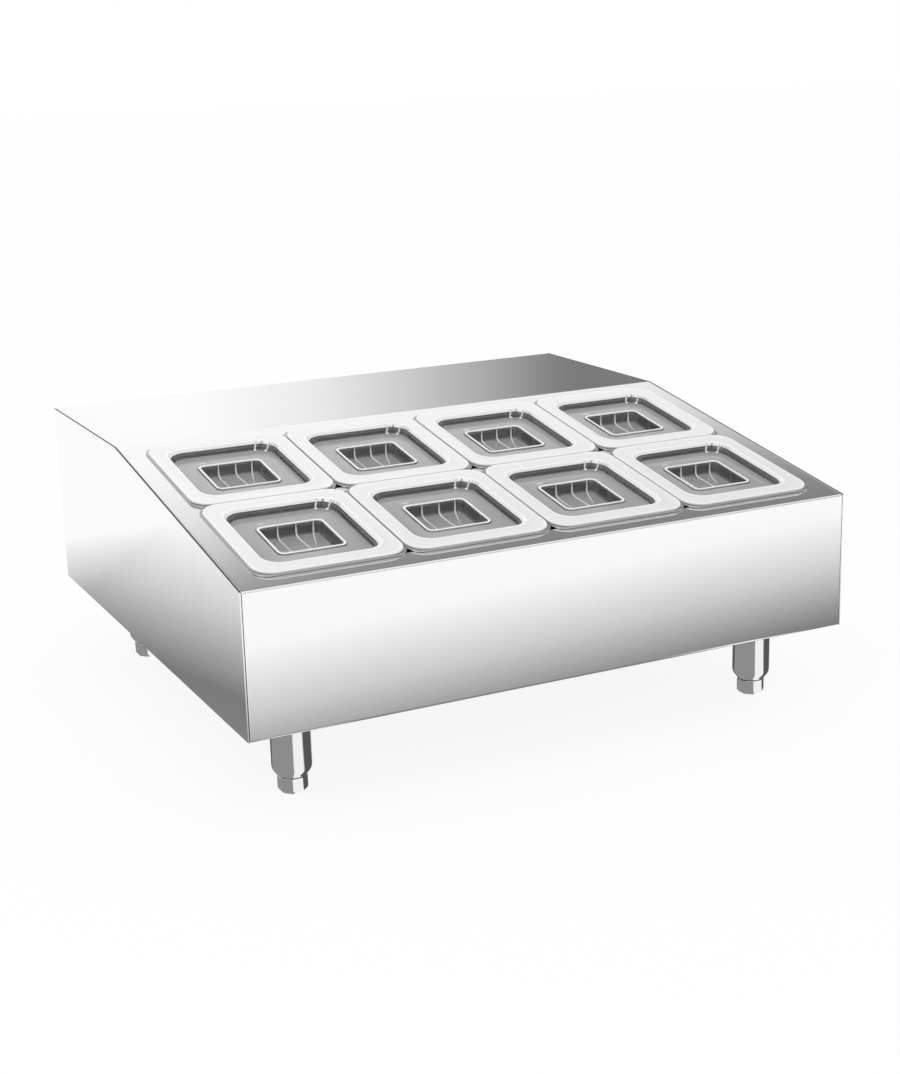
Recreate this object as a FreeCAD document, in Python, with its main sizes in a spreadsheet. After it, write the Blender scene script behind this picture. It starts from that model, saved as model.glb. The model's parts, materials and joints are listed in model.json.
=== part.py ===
import FreeCAD, Part
import math
import os

import Sketcher

# Refrigerated topping unit: a countertop casing with a sloping deck that holds eight sixth-size
# food pans under clear lids, a flat shelf behind them with the cooling machine underneath, and
# four adjustable legs. X runs left to right, Y from front to back and Z up. The origin is on the
# counter, under the middle of the casing.

SIZES = {
    # Casing
    "body_width": 700.0,
    "body_depth": 650.0,
    "front_height": 150.0,
    "rear_height": 215.0,
    "shelf_depth": 260.0,
    "underside_height": 88.0,
    "side_sheet": 1.5,
    "cover_sheet": 1.2,
    "base_sheet": 1.2,
    "rear_sheet": 1.2,
    "seam": 0.3,
    "bend_radius": 1.2,
    "side_return": 14.0,
    "cover_return": 16.0,
    "rear_lip": 17.0,
    "rear_recess": 18.0,
    "bulkhead_setback": 21.0,
    "bulkhead_foot": 14.0,
    # Pans, their opening in the deck and the bar between the two rows
    "pan_width": 162.0,
    "pan_length": 176.0,
    "pan_gap": 0.5,
    "pan_depth": 100.0,
    "pan_wall": 1.0,
    "flange_thickness": 1.5,
    "flange_corner": 15.0,
    "flange_width": 10.5,
    "pan_corner": 22.0,
    "pan_taper": 13.0,
    "pan_rest_gap": 0.3,
    "deck_lap": 5.5,
    "opening_corner": 9.0,
    "bar_height": 12.0,
    "bar_sheet": 1.5,
    "bracket_length": 14.0,
    "bracket_drop": 16.0,
    # Lids
    "lid_inset": 0.5,
    "lid_sheet": 2.0,
    "lid_height": 5.6,
    "lid_corner": 15.0,
    "well_width": 120.0,
    "well_length": 130.0,
    "well_depth": 13.5,
    "well_draft": 4.0,
    "well_corner": 20.0,
    "grip_width": 64.0,
    "grip_length": 59.0,
    "grip_depth": 13.0,
    "grip_draft": 2.0,
    "grip_corner": 5.0,
    "bead_width": 2.6,
    "bead_height": 1.8,
    "lid_rest_gap": 0.3,
    # Cold well, with the cooling plate's width and length under one pan
    "liner_sheet": 0.9,
    "liner_depth": 111.0,
    "liner_flange": 11.0,
    "foam_clearance": 0.3,
    "evaporator_width": 140.0,
    "evaporator_length": 145.0,
    "evaporator_sheet": 1.5,
    "evaporator_inset": 20.0,
    "channel_radius": 4.0,
    "channel_pitch": 72.0,
    "port_width": 56.0,
    "port_height": 22.0,
    # Legs and feet
    "leg_inset_x": 69.0,
    "leg_inset_front": 70.0,
    "leg_inset_rear": 95.0,
    "leg_radius": 20.75,
    "leg_chamfer": 6.0,
    "leg_chamfer_height": 7.0,
    "foot_height": 17.0,
    "foot_radius": 15.7,
    "foot_chamfer": 3.2,
    "foot_gap": 0.3,
    "thread_radius": 6.0,
    "thread_clearance": 0.05,
    "thread_length": 46.0,
    "thread_runout": 2.0,
    # Compressor, with its place in from the left side
    "compressor_x": 185.0,
    "compressor_setback": 155.0,
    "compressor_length": 168.0,
    "compressor_width": 128.0,
    "compressor_height": 146.0,
    "compressor_corner": 56.0,
    "compressor_dome": 24.0,
    "compressor_sump": 12.0,
    "mount_plate_length": 196.0,
    "mount_plate_width": 116.0,
    "mount_plate_sheet": 3.0,
    "grommet_radius": 9.0,
    "grommet_height": 12.0,
    "grommet_inset": 13.0,
    "terminal_width": 56.0,
    "terminal_depth": 24.0,
    "terminal_height": 60.0,
    "terminal_lift": 26.0,
    # Condenser and fan, with their place in from the right side
    "condenser_x": 180.0,
    "condenser_width": 230.0,
    "condenser_height": 168.0,
    "condenser_depth": 26.0,
    "condenser_lift": 14.0,
    "condenser_rear_gap": 8.0,
    "header_radius": 8.0,
    "flat_tube_height": 3.0,
    "fin_sheet": 0.4,
    "shroud_sheet": 1.5,
    "fan_radius": 70.0,
    "fan_clearance": 4.0,
    "fan_standoff": 4.0,
    "fan_hub_radius": 20.0,
    "fan_hub_depth": 18.0,
    "blade_sheet": 2.0,
    "blade_chord": 36.0,
    "blade_pitch": 17.0,
    "motor_width": 58.0,
    "motor_depth": 42.0,
    "motor_gap": 6.0,
    "shaft_radius": 3.0,
    "motor_bracket_width": 12.0,
    "motor_bracket_sheet": 2.0,
    "motor_bracket_foot": 12.0,
    # Pipes
    "suction_radius": 4.0,
    "discharge_radius": 3.0,
    "pipe_spread": 16.0,
    "discharge_lift": 108.0,
    "drier_radius": 9.0,
    "drier_length": 70.0,
    "capillary_radius": 1.2,
    "capillary_setback": 28.0,
    # Controls, with their places in from the left side
    "thermostat_x": 150.0,
    "switch_x": 88.0,
    "bushing_x": 40.0,
    "control_height": 158.0,
    "bushing_height": 48.0,
    "thermostat_width": 40.0,
    "thermostat_depth": 30.0,
    "knob_radius": 14.0,
    "knob_depth": 13.0,
    "knob_gap": 0.6,
    "knob_socket": 7.0,
    "knob_pointer": 2.0,
    "knob_shaft_radius": 3.0,
    "shaft_clearance": 0.05,
    "shaft_hole_clearance": 0.5,
    "switch_width": 22.0,
    "switch_height": 30.0,
    "switch_bezel": 2.0,
    "switch_depth": 24.0,
    "rocker_gap": 0.5,
    "rocker_half_height": 12.0,
    "rocker_half_depth": 4.0,
    "rocker_tilt_rise": 1.7,
    "bushing_width": 15.0,
    "bushing_depth": 10.0,
    "bushing_rim": 3.5,
    "bushing_head": 6.0,
    "cord_radius": 3.6,
    # Vents
    "louvre_width": 96.0,
    "louvre_height": 5.0,
    "louvre_pitch": 17.0,
    "louvre_gap": 20.0,
    "louvre_floor": 30.0,
}

# How many of each repeated thing
PAN_ROWS = 2
FAN_BLADES = 5
FLAT_TUBES = 5
FINS_PER_BAND = 8
HUB_SIDES = 15
BUSHING_SIDES = 16
GROMMET_SIDES = 8
LOUVRE_ROWS = 9
CHANNELS = 4
KNOB_SIDES = 12
FOOT_FLATS = 8

# How shapes divide up
BEVEL_SHARE = 2 - math.sqrt(2)
CHANNEL_CROWN_SHARE = 0.5
BLADE_ROOT_SHARE = 0.8
ROCKER_BACK_SHARE = 0.8
ROCKER_DIP_SHARE = 0.3

# Names of the sides, in the order in which repeated pieces are made
ROW_NAMES = ("front", "rear")
SIDE_NAMES = ("left", "right")

doc = FreeCAD.newDocument("topping_unit")
sheet = doc.addObject("Spreadsheet::Sheet", "Sizes")
for row_number, (alias, amount) in enumerate(SIZES.items(), start=1):
    sheet.set(f"A{row_number}", alias)
    sheet.set(f"B{row_number}", str(amount))
    sheet.setAlias(f"B{row_number}", alias)
doc.recompute()


class Size:
    """A length, or a plain ratio, with the sheet expression that gives it."""

    def __init__(self, value, text):
        self.value = value
        self.text = text

    def __add__(self, other):
        other = as_size(other)
        return Size(self.value + other.value, f"({self.text} + {other.text})")

    def __sub__(self, other):
        other = as_size(other)
        return Size(self.value - other.value, f"({self.text} - {other.text})")

    def __mul__(self, other):
        other = as_size(other)
        return Size(self.value * other.value, f"({self.text} * {other.text})")

    def __truediv__(self, other):
        other = as_size(other)
        return Size(self.value / other.value, f"({self.text} / {other.text})")

    def __neg__(self):
        return Size(-self.value, f"(0 - {self.text})")

    __radd__ = __add__
    __rmul__ = __mul__

    def __rsub__(self, other):
        return as_size(other) - self


def as_size(number):
    """A plain count or share as a Size."""
    if isinstance(number, Size):
        return number
    return Size(float(number), f"({number})")


def root(size):
    """Square root."""
    return Size(math.sqrt(size.value), f"sqrt({size.text})")


class Named:
    """The sheet's cells, by their aliases."""

    def __getattr__(self, name):
        return Size(float(sheet.get(name)), f"Sizes.{name}")


cell = Named()
ZERO = as_size(0)
subparts = []


def keep(thing, label):
    """List a finished sub-part under the name of its file."""
    thing.Label = label
    subparts.append(thing)
    return thing


def bind(thing, **sizes):
    """Tie properties of an object to the sheet."""
    for name, size in sizes.items():
        thing.setExpression(name, size.text)


def bind_base(thing, point, path="Placement"):
    """Tie the base of a placement to the sheet."""
    for letter, size in zip("xyz", point):
        thing.setExpression(f"{path}.Base.{letter}", size.text)


# Where things are

HALF_WIDTH = cell.body_width / 2
HALF_DEPTH = cell.body_depth / 2
RISE = cell.rear_height - cell.front_height
RUN = cell.body_depth - cell.shelf_depth
SLOPE = root(RISE * RISE + RUN * RUN)
COSINE = RUN / SLOPE
SINE = RISE / SLOPE
SLOPE_DEGREES = math.degrees(math.atan2(RISE.value, RUN.value))
SLOPE_TEXT = f"atan({RISE.text} / {RUN.text})"
BASE_TOP = cell.underside_height + cell.cover_sheet + cell.base_sheet
SHELF_UNDERSIDE = cell.underside_height + cell.rear_height - cell.cover_sheet
PLATE_HALF = HALF_WIDTH - cell.side_sheet - cell.seam
RING_HALF = HALF_WIDTH - cell.side_return
REAR_FACE = HALF_DEPTH - cell.rear_recess
BULKHEAD_FRONT = HALF_DEPTH - cell.shelf_depth + cell.bulkhead_setback


def deck_point(across, along, out):
    """Place in the casing's frame of a point given across, up and out from the sloping deck."""
    y = along * COSINE - out * SINE - HALF_DEPTH
    z = along * SINE + out * COSINE + cell.underside_height + cell.front_height
    return across, y, z


def lay_on_deck(thing, path, across, along, out):
    """Lay a body, or a sketch, square on the sloping deck."""
    point = deck_point(across, along, out)
    base = FreeCAD.Vector(*(size.value for size in point))
    setattr(thing, path, FreeCAD.Placement(base, FreeCAD.Rotation(FreeCAD.Vector(1, 0, 0), SLOPE_DEGREES)))
    thing.setExpression(f"{path}.Rotation.Angle", SLOPE_TEXT)
    bind_base(thing, point, path)


def casing_outline(front, top, rear, bottom):
    """The casing's side view, with each side moved in by its own amount."""
    foot = cell.underside_height
    front_y = front - HALF_DEPTH
    rear_y = HALF_DEPTH - rear
    top_z = foot + cell.rear_height - top
    front_z = foot + cell.front_height + front * RISE / RUN - top / COSINE
    knee_y = RUN - HALF_DEPTH + (top / COSINE - top) * RUN / RISE
    return [
        (front_y, foot + bottom),
        (rear_y, foot + bottom),
        (rear_y, top_z),
        (knee_y, top_z),
        (front_y, front_z),
    ]


# Ways of making a body

class Maker:
    """One body, made from sketches on its own origin planes."""

    def __init__(self, label, kept=True):
        self.body = doc.addObject("PartDesign::Body", label)
        if kept:
            keep(self.body, label)
        self.count = 0

    def feature(self, kind, word):
        """A new feature of this body."""
        self.count += 1
        return self.body.newObject(kind, f"{self.body.Name}_{word}_{self.count}")

    def datum(self, role):
        """One of the body's origin planes or axes."""
        return next(part for part in self.body.Origin.OriginFeatures if part.Role == role)

    def sketch(self, plane="XY_Plane", offset=ZERO):
        """An empty sketch on an origin plane, or moved off it."""
        sketch = self.feature("Sketcher::SketchObject", "sketch")
        sketch.AttachmentSupport = [(self.datum(plane), "")]
        sketch.MapMode = "FlatFace"
        sketch.AttachmentOffset = FreeCAD.Placement(FreeCAD.Vector(0, 0, offset.value), FreeCAD.Rotation())
        sketch.setExpression("AttachmentOffset.Base.z", offset.text)
        return sketch

    def deck_sketch(self):
        """An empty sketch flat on the sloping deck, about its middle."""
        sketch = self.sketch()
        lay_on_deck(sketch, "AttachmentOffset", ZERO, SLOPE / 2, ZERO)
        return sketch

    def pad(self, sketch, length, reverse=False):
        """Material from a sketch, along its normal."""
        pad = self.feature("PartDesign::Pad", "pad")
        pad.Profile = sketch
        pad.Reversed = reverse
        bind(pad, Length=length)
        return pad

    def pocket(self, sketch, depth, reverse=False):
        """A hollow from a sketch, against its normal."""
        doc.recompute()
        before = self.body.Shape.Volume
        pocket = self.feature("PartDesign::Pocket", "pocket")
        pocket.Profile = sketch
        pocket.Reversed = reverse
        bind(pocket, Length=depth)
        doc.recompute()
        if self.body.Shape.Volume >= before:
            raise RuntimeError(f"{pocket.Name} cuts nothing")
        return pocket

    def wedge(self, kind, top, width, length, depth, draft):
        """A block, or hollow, that goes down from a level and narrows all round by a draft."""
        wedge = self.feature(f"PartDesign::{kind}Wedge", "wedge")
        wedge.AttachmentSupport = [(self.datum("XY_Plane"), "")]
        wedge.MapMode = "FlatFace"
        down = FreeCAD.Rotation(FreeCAD.Vector(1, 0, 0), -90)
        wedge.AttachmentOffset = FreeCAD.Placement(FreeCAD.Vector(0, 0, top.value), down)
        wedge.setExpression("AttachmentOffset.Base.z", top.text)
        x = width / 2
        y = length / 2
        bind(wedge, Ymin=ZERO, Ymax=depth, Xmin=-x, Xmax=x, Zmin=-y, Zmax=y,
             X2min=draft - x, X2max=x - draft, Z2min=draft - y, Z2max=y - draft)
        return wedge

    def dress(self, kind, feature, wanted, **sizes):
        """A fillet or chamfer on those edges of a feature that the test picks."""
        doc.recompute()
        edges = enumerate(feature.Shape.Edges, start=1)
        names = [f"Edge{number}" for number, edge in edges if wanted(edge)]
        dressed = self.feature(f"PartDesign::{kind}", kind.lower())
        dressed.Base = (feature, names)
        bind(dressed, **sizes)
        return dressed

    def turn(self, points):
        """A round piece from half its outline, given as radius and height."""
        sketch = self.sketch("XZ_Plane")
        draw_outline(sketch, points)
        turned = self.feature("PartDesign::Revolution", "turn")
        turned.Profile = sketch
        turned.ReferenceAxis = (sketch, ["V_Axis"])
        return turned

    def row(self, feature, axis, length, count):
        """A straight row of a feature."""
        pattern = self.feature("PartDesign::LinearPattern", "row")
        pattern.Originals = [feature]
        pattern.Direction = (self.datum(axis), [""])
        pattern.Occurrences = count
        bind(pattern, Length=length)
        self.body.Tip = pattern
        return pattern

    def ring(self, feature, axis, count):
        """A full ring of a feature."""
        pattern = self.feature("PartDesign::PolarPattern", "ring")
        pattern.Originals = [feature]
        pattern.Axis = (self.datum(axis), [""])
        pattern.Angle = 360
        pattern.Occurrences = count
        self.body.Tip = pattern
        return pattern


def hold(sketch, line, end, x, y):
    """Hold one end of a line by its distances from the sketch's origin."""
    for kind, size in (("DistanceX", x), ("DistanceY", y)):
        number = sketch.addConstraint(Sketcher.Constraint(kind, -1, 1, line, end, size.value))
        sketch.setExpression(f"Constraints[{number}]", size.text)


def spans(low, high):
    """A test for edges that run between two heights."""
    def test(edge):
        heights = sorted(end.Z for end in edge.Vertexes)
        return (len(heights) == 2 and abs(heights[0] - low.value) < cell.seam.value
                and abs(heights[1] - high.value) < cell.seam.value)
    return test


def draw_outline(sketch, points):
    """A closed outline of straight lines."""
    first = sketch.GeometryCount
    corners = [FreeCAD.Vector(x.value, y.value, 0) for x, y in points]
    for start, end in zip(corners, corners[1:] + corners[:1]):
        sketch.addGeometry(Part.LineSegment(start, end), False)
    for number, (x, y) in enumerate(points):
        line = first + number
        following = first + (number + 1) % len(points)
        sketch.addConstraint(Sketcher.Constraint("Coincident", line, 2, following, 1))
        hold(sketch, line, 1, x, y)


def draw_rectangle(sketch, width, height, x=ZERO, y=ZERO):
    """A rectangle about a point."""
    corners = ((-1, -1), (1, -1), (1, 1), (-1, 1))
    draw_outline(sketch, [(x + width / 2 * across, y + height / 2 * up) for across, up in corners])


def draw_bevelled(sketch, width, height, corner):
    """A rectangle whose corners are cut flat, just outside a round corner of the given radius."""
    bevel = corner * BEVEL_SHARE
    x = width / 2
    y = height / 2
    draw_outline(sketch, [
        (x, bevel - y), (x, y - bevel), (x - bevel, y), (bevel - x, y),
        (-x, y - bevel), (-x, bevel - y), (bevel - x, -y), (x - bevel, -y),
    ])


def draw_regular(sketch, radius, sides):
    """A regular outline about the sketch's origin, by the radius of its corners."""
    turns = [math.tau * number / sides for number in range(sides)]
    draw_outline(sketch, [(radius * math.cos(turn), radius * math.sin(turn)) for turn in turns])


def draw_rounded(sketch, width, height, corner):
    """A rectangle with round corners, about the sketch's origin."""
    first = sketch.GeometryCount
    x, y, r = width.value / 2, height.value / 2, corner.value
    ends = ((r - x, -y), (x - r, -y), (x, r - y), (x, y - r),
            (x - r, y), (r - x, y), (-x, y - r), (-x, r - y))
    middles = ((x - r, r - y), (x - r, y - r), (r - x, y - r), (r - x, r - y))
    corners = [FreeCAD.Vector(*end, 0) for end in ends]
    for start, end in zip(corners[::2], corners[1::2]):
        sketch.addGeometry(Part.LineSegment(start, end), False)
    for number, middle in enumerate(middles):
        circle = Part.Circle(FreeCAD.Vector(*middle, 0), FreeCAD.Vector(0, 0, 1), r)
        start = math.pi / 2 * (number - 1)
        sketch.addGeometry(Part.ArcOfCircle(circle, start, start + math.pi / 2), False)
    lines = [first + number for number in range(4)]
    arcs = [first + 4 + number for number in range(4)]
    for line, arc, following in zip(lines, arcs, lines[1:] + lines[:1]):
        sketch.addConstraint(Sketcher.Constraint("Tangent", line, 2, arc, 1))
        sketch.addConstraint(Sketcher.Constraint("Tangent", arc, 2, following, 1))
    for line, direction in zip(lines, ("Horizontal", "Vertical") * 2):
        sketch.addConstraint(Sketcher.Constraint(direction, line))
    for arc in arcs[1:]:
        sketch.addConstraint(Sketcher.Constraint("Equal", arcs[0], arc))
    number = sketch.addConstraint(Sketcher.Constraint("Radius", arcs[0], r))
    sketch.setExpression(f"Constraints[{number}]", corner.text)
    kinds = ("DistanceY", "DistanceX") * 2
    for line, kind, size in zip(lines, kinds, (-height / 2, width / 2, height / 2, -width / 2)):
        number = sketch.addConstraint(Sketcher.Constraint(kind, -1, 1, line, 1, size.value))
        sketch.setExpression(f"Constraints[{number}]", size.text)


def draw_circle(sketch, radius, x=ZERO, y=ZERO):
    """A circle about a point."""
    circle = Part.Circle(FreeCAD.Vector(x.value, y.value, 0), FreeCAD.Vector(0, 0, 1), radius.value)
    number = sketch.addGeometry(circle, False)
    hold(sketch, number, 3, x, y)
    constraint = sketch.addConstraint(Sketcher.Constraint("Radius", number, radius.value))
    sketch.setExpression(f"Constraints[{constraint}]", radius.text)


# Ways of making simple solids

AXIS_TURNS = {
    "Y": FreeCAD.Rotation(FreeCAD.Vector(1, 0, 0), -90),
    "Z": FreeCAD.Rotation(),
}


def placed(thing, point, rotation=None):
    """Give a simple solid its place, and tie the place to the sheet."""
    base = FreeCAD.Vector(*(size.value for size in point))
    thing.Placement = FreeCAD.Placement(base, rotation or FreeCAD.Rotation())
    bind_base(thing, point)
    return thing


def block(name, corner, size):
    """A box, from its lowest corner."""
    box = doc.addObject("Part::Box", name)
    bind(box, Length=size[0], Width=size[1], Height=size[2])
    return placed(box, corner)


def rod(name, radius, length, start, axis="Z"):
    """A round bar from the middle of its first end."""
    bar = doc.addObject("Part::Cylinder", name)
    bind(bar, Radius=radius, Height=length)
    return placed(bar, start, AXIS_TURNS[axis])


def prism(name, radius, sides, height, start):
    """An upright regular bar, by the radius of its corners."""
    bar = doc.addObject("Part::Prism", name)
    bar.Polygon = sides
    bind(bar, Circumradius=radius, Height=height)
    return placed(bar, start)


def cut(name, base, tool):
    """One solid less another."""
    result = doc.addObject("Part::Cut", name)
    result.Base = base
    result.Tool = tool
    return result


def joined(name, *things):
    """Touching solids made one."""
    result = doc.addObject("Part::MultiFuse", name)
    result.Shapes = list(things)
    result.Refine = True
    return result


def group(name, *things):
    """Separate solids of one kind kept together."""
    result = doc.addObject("Part::Compound", name)
    result.Links = list(things)
    return result


def tube(name, radius, points):
    """A round tube along straight runs, mitred at each corner."""
    corners = [FreeCAD.Vector(*(size.value for size in point)) for point in points]
    ring = Part.Wire([Part.Circle(corners[0], corners[1] - corners[0], radius.value).toShape()])
    result = doc.addObject("Part::Feature", name)
    result.Shape = Part.makePolygon(corners).makePipeShell([ring], True, False, 1)
    return result


# Places that pieces share

PITCH_X = cell.pan_width + cell.pan_gap
PAN_COLUMNS = math.floor((RING_HALF * 2 + cell.deck_lap * 2 - cell.liner_flange * 2
                          + cell.pan_gap).value / PITCH_X.value)
PITCH_Y = cell.pan_length + cell.pan_gap
OPENING_WIDTH = PITCH_X * PAN_COLUMNS - cell.pan_gap - cell.deck_lap * 2
OPENING_LENGTH = PITCH_Y * PAN_ROWS - cell.pan_gap - cell.deck_lap * 2
LEG_X = HALF_WIDTH - cell.leg_inset_x
LEG_ROWS = {"front": cell.leg_inset_front - HALF_DEPTH, "rear": HALF_DEPTH - cell.leg_inset_rear}
LEG_PLACES = {f"{row}_{side}": (LEG_X * sign, y)
              for row, y in LEG_ROWS.items() for side, sign in zip(SIDE_NAMES, (-1, 1))}
PLATE_WIDTH = cell.evaporator_width * PAN_COLUMNS
PLATE_LENGTH = cell.evaporator_length * PAN_ROWS
LINER_FLOOR = -cell.cover_sheet - cell.liner_depth - cell.liner_sheet
PLATE_EDGE = deck_point(ZERO, SLOPE / 2 + PLATE_LENGTH / 2, LINER_FLOOR - cell.evaporator_sheet)
PORT_Z = PLATE_EDGE[2] - cell.suction_radius
THERMOSTAT_X = cell.thermostat_x - HALF_WIDTH
SWITCH_X = cell.switch_x - HALF_WIDTH
BUSHING_X = cell.bushing_x - HALF_WIDTH
CONTROL_Z = cell.underside_height + cell.control_height
BUSHING_Z = cell.underside_height + cell.bushing_height
PANEL_FRONT = REAR_FACE - cell.rear_sheet
COMPRESSOR_X = cell.compressor_x - HALF_WIDTH
COMPRESSOR_Y = HALF_DEPTH - cell.compressor_setback
MOUNT_Z = BASE_TOP + cell.grommet_height
SHELL_Z = MOUNT_Z + cell.mount_plate_sheet
CONDENSER_X = HALF_WIDTH - cell.condenser_x
CONDENSER_REAR = PANEL_FRONT - cell.condenser_rear_gap
CONDENSER_FRONT = CONDENSER_REAR - cell.condenser_depth
CONDENSER_MIDDLE = (CONDENSER_FRONT + CONDENSER_REAR) / 2
CONDENSER_Z = BASE_TOP + cell.condenser_lift
HEADER_X = cell.condenser_width / 2 + cell.header_radius
HEADER_HEIGHT = cell.condenser_height + cell.condenser_lift
FAN_Z = CONDENSER_Z + cell.condenser_height / 2
SHROUD_FRONT = CONDENSER_FRONT - cell.seam - cell.shroud_sheet
HUB_REAR = SHROUD_FRONT - cell.fan_standoff
MOTOR_REAR = HUB_REAR - cell.fan_hub_depth - cell.motor_gap
MOTOR_FRONT = MOTOR_REAR - cell.motor_depth


def pan_place(column, row):
    """Middle of a pan, across and up the deck."""
    across = PITCH_X * (column - (PAN_COLUMNS - 1) / 2)
    along = SLOPE / 2 + PITCH_Y * (row - (PAN_ROWS - 1) / 2)
    return across, along


# Casing

def side_panel(side, sign):
    """A flat side with a flange folded in all round, under the cover and behind the rear panel."""
    maker = Maker(f"{side}_side_panel")
    plate = maker.sketch("YZ_Plane", -HALF_WIDTH if sign < 0 else HALF_WIDTH - cell.side_sheet)
    draw_outline(plate, casing_outline(ZERO, ZERO, ZERO, ZERO))
    maker.pad(plate, cell.side_sheet)
    under_cover = cell.cover_sheet + cell.seam
    over_base = cell.cover_sheet + cell.base_sheet + cell.seam
    insets = (under_cover, under_cover, HALF_DEPTH - PANEL_FRONT, over_base)
    flange = maker.sketch("YZ_Plane", cell.side_sheet - HALF_WIDTH if sign < 0 else RING_HALF)
    draw_outline(flange, casing_outline(*insets))
    draw_outline(flange, casing_outline(*(inset + cell.side_sheet for inset in insets)))
    maker.pad(flange, cell.side_return - cell.side_sheet)


def deck_and_front_cover():
    """One bent sheet: front, sloping deck with the pans' opening, shelf and the lip behind it."""
    maker = Maker("deck_and_front_cover")
    outer = casing_outline(ZERO, ZERO, ZERO, ZERO)
    inner = casing_outline(*[cell.cover_sheet] * 4)
    lip_z = cell.underside_height + cell.rear_height - cell.rear_lip
    return_y = cell.cover_return - HALF_DEPTH
    profile = maker.sketch("YZ_Plane", -PLATE_HALF)
    draw_outline(profile, [
        (return_y, outer[0][1]),
        outer[0],
        outer[4],
        outer[3],
        outer[2],
        (outer[2][0], lip_z),
        (inner[2][0], lip_z),
        inner[2],
        inner[3],
        inner[4],
        inner[0],
        (return_y, inner[0][1]),
    ])
    bent = maker.pad(profile, PLATE_HALF * 2)

    def is_front_bend(edge):
        """True for the two outer bends of the front."""
        return any(
            all(math.hypot(end.Y - y.value, end.Z - z.value) < cell.seam.value for end in edge.Vertexes)
            for y, z in (outer[0], outer[4])
        )

    maker.dress("Fillet", bent, is_front_bend, Radius=cell.bend_radius)
    opening = maker.deck_sketch()
    draw_rounded(opening, OPENING_WIDTH, OPENING_LENGTH, cell.opening_corner)
    maker.pocket(opening, cell.cover_sheet * 2)


def base_panel():
    """The floor of the casing, lying on the cover's lower return."""
    maker = Maker("base_panel")
    floor = maker.sketch(offset=BASE_TOP - cell.base_sheet)
    inset = cell.cover_sheet + cell.seam
    draw_rectangle(floor, PLATE_HALF * 2, cell.body_depth - inset * 2)
    maker.pad(floor, cell.base_sheet)


def rear_panel():
    """The removable panel, set in between the sides, with its vents and the holes for the controls."""
    maker = Maker("rear_panel")
    face = maker.sketch("XZ_Plane", -PANEL_FRONT)
    low = BASE_TOP + cell.seam
    high = SHELF_UNDERSIDE - cell.seam
    draw_rectangle(face, PLATE_HALF * 2, high - low, ZERO, (low + high) / 2)
    draw_circle(face, cell.knob_shaft_radius + cell.shaft_hole_clearance, THERMOSTAT_X, CONTROL_Z)
    draw_rectangle(face, cell.switch_width + cell.seam * 2, cell.switch_height + cell.seam * 2,
                   SWITCH_X, CONTROL_Z)
    draw_circle(face, cell.bushing_width / 2 + cell.seam, BUSHING_X, BUSHING_Z)
    maker.pad(face, cell.rear_sheet, reverse=True)
    slots = maker.sketch("XZ_Plane", -PANEL_FRONT)
    for sign in (-1, 1):
        centre = CONDENSER_X + (cell.louvre_width + cell.louvre_gap) / 2 * sign
        draw_rectangle(slots, cell.louvre_width, cell.louvre_height, centre, BASE_TOP + cell.louvre_floor)
    vents = maker.pocket(slots, cell.rear_sheet)
    maker.row(vents, "Z_Axis", cell.louvre_pitch * (LOUVRE_ROWS - 1), LOUVRE_ROWS)


def bulkhead():
    """The wall between the cold well's foam and the machine, with a foot along its lower edge."""
    maker = Maker("bulkhead")
    high = SHELF_UNDERSIDE - cell.seam
    rear = BULKHEAD_FRONT + cell.base_sheet
    foot = rear + cell.bulkhead_foot
    profile = maker.sketch("YZ_Plane", cell.seam - RING_HALF)
    draw_outline(profile, [
        (BULKHEAD_FRONT, BASE_TOP),
        (foot, BASE_TOP),
        (foot, BASE_TOP + cell.base_sheet),
        (rear, BASE_TOP + cell.base_sheet),
        (rear, high),
        (BULKHEAD_FRONT, high),
    ])
    maker.pad(profile, (RING_HALF - cell.seam) * 2)
    port = maker.sketch("XZ_Plane", -BULKHEAD_FRONT)
    draw_rectangle(port, cell.port_width, cell.port_height, ZERO, PORT_Z)
    maker.pocket(port, cell.base_sheet)


# Cold well

def well_liner():
    """The tank under the deck, with a flange that hangs it from the cover."""
    maker = Maker("well_liner")
    flange = maker.sketch()
    draw_rectangle(flange, OPENING_WIDTH + cell.liner_flange * 2, OPENING_LENGTH + cell.liner_flange * 2)
    maker.pad(flange, cell.liner_sheet, reverse=True)
    tank = maker.sketch()
    draw_rounded(tank, OPENING_WIDTH + cell.liner_sheet * 2, OPENING_LENGTH + cell.liner_sheet * 2,
                 cell.opening_corner + cell.liner_sheet)
    maker.pad(tank, cell.liner_depth + cell.liner_sheet, reverse=True)
    inside = maker.sketch()
    draw_rounded(inside, OPENING_WIDTH, OPENING_LENGTH, cell.opening_corner)
    maker.pocket(inside, cell.liner_depth)
    lay_on_deck(maker.body, "Placement", ZERO, SLOPE / 2, -cell.cover_sheet)


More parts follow.
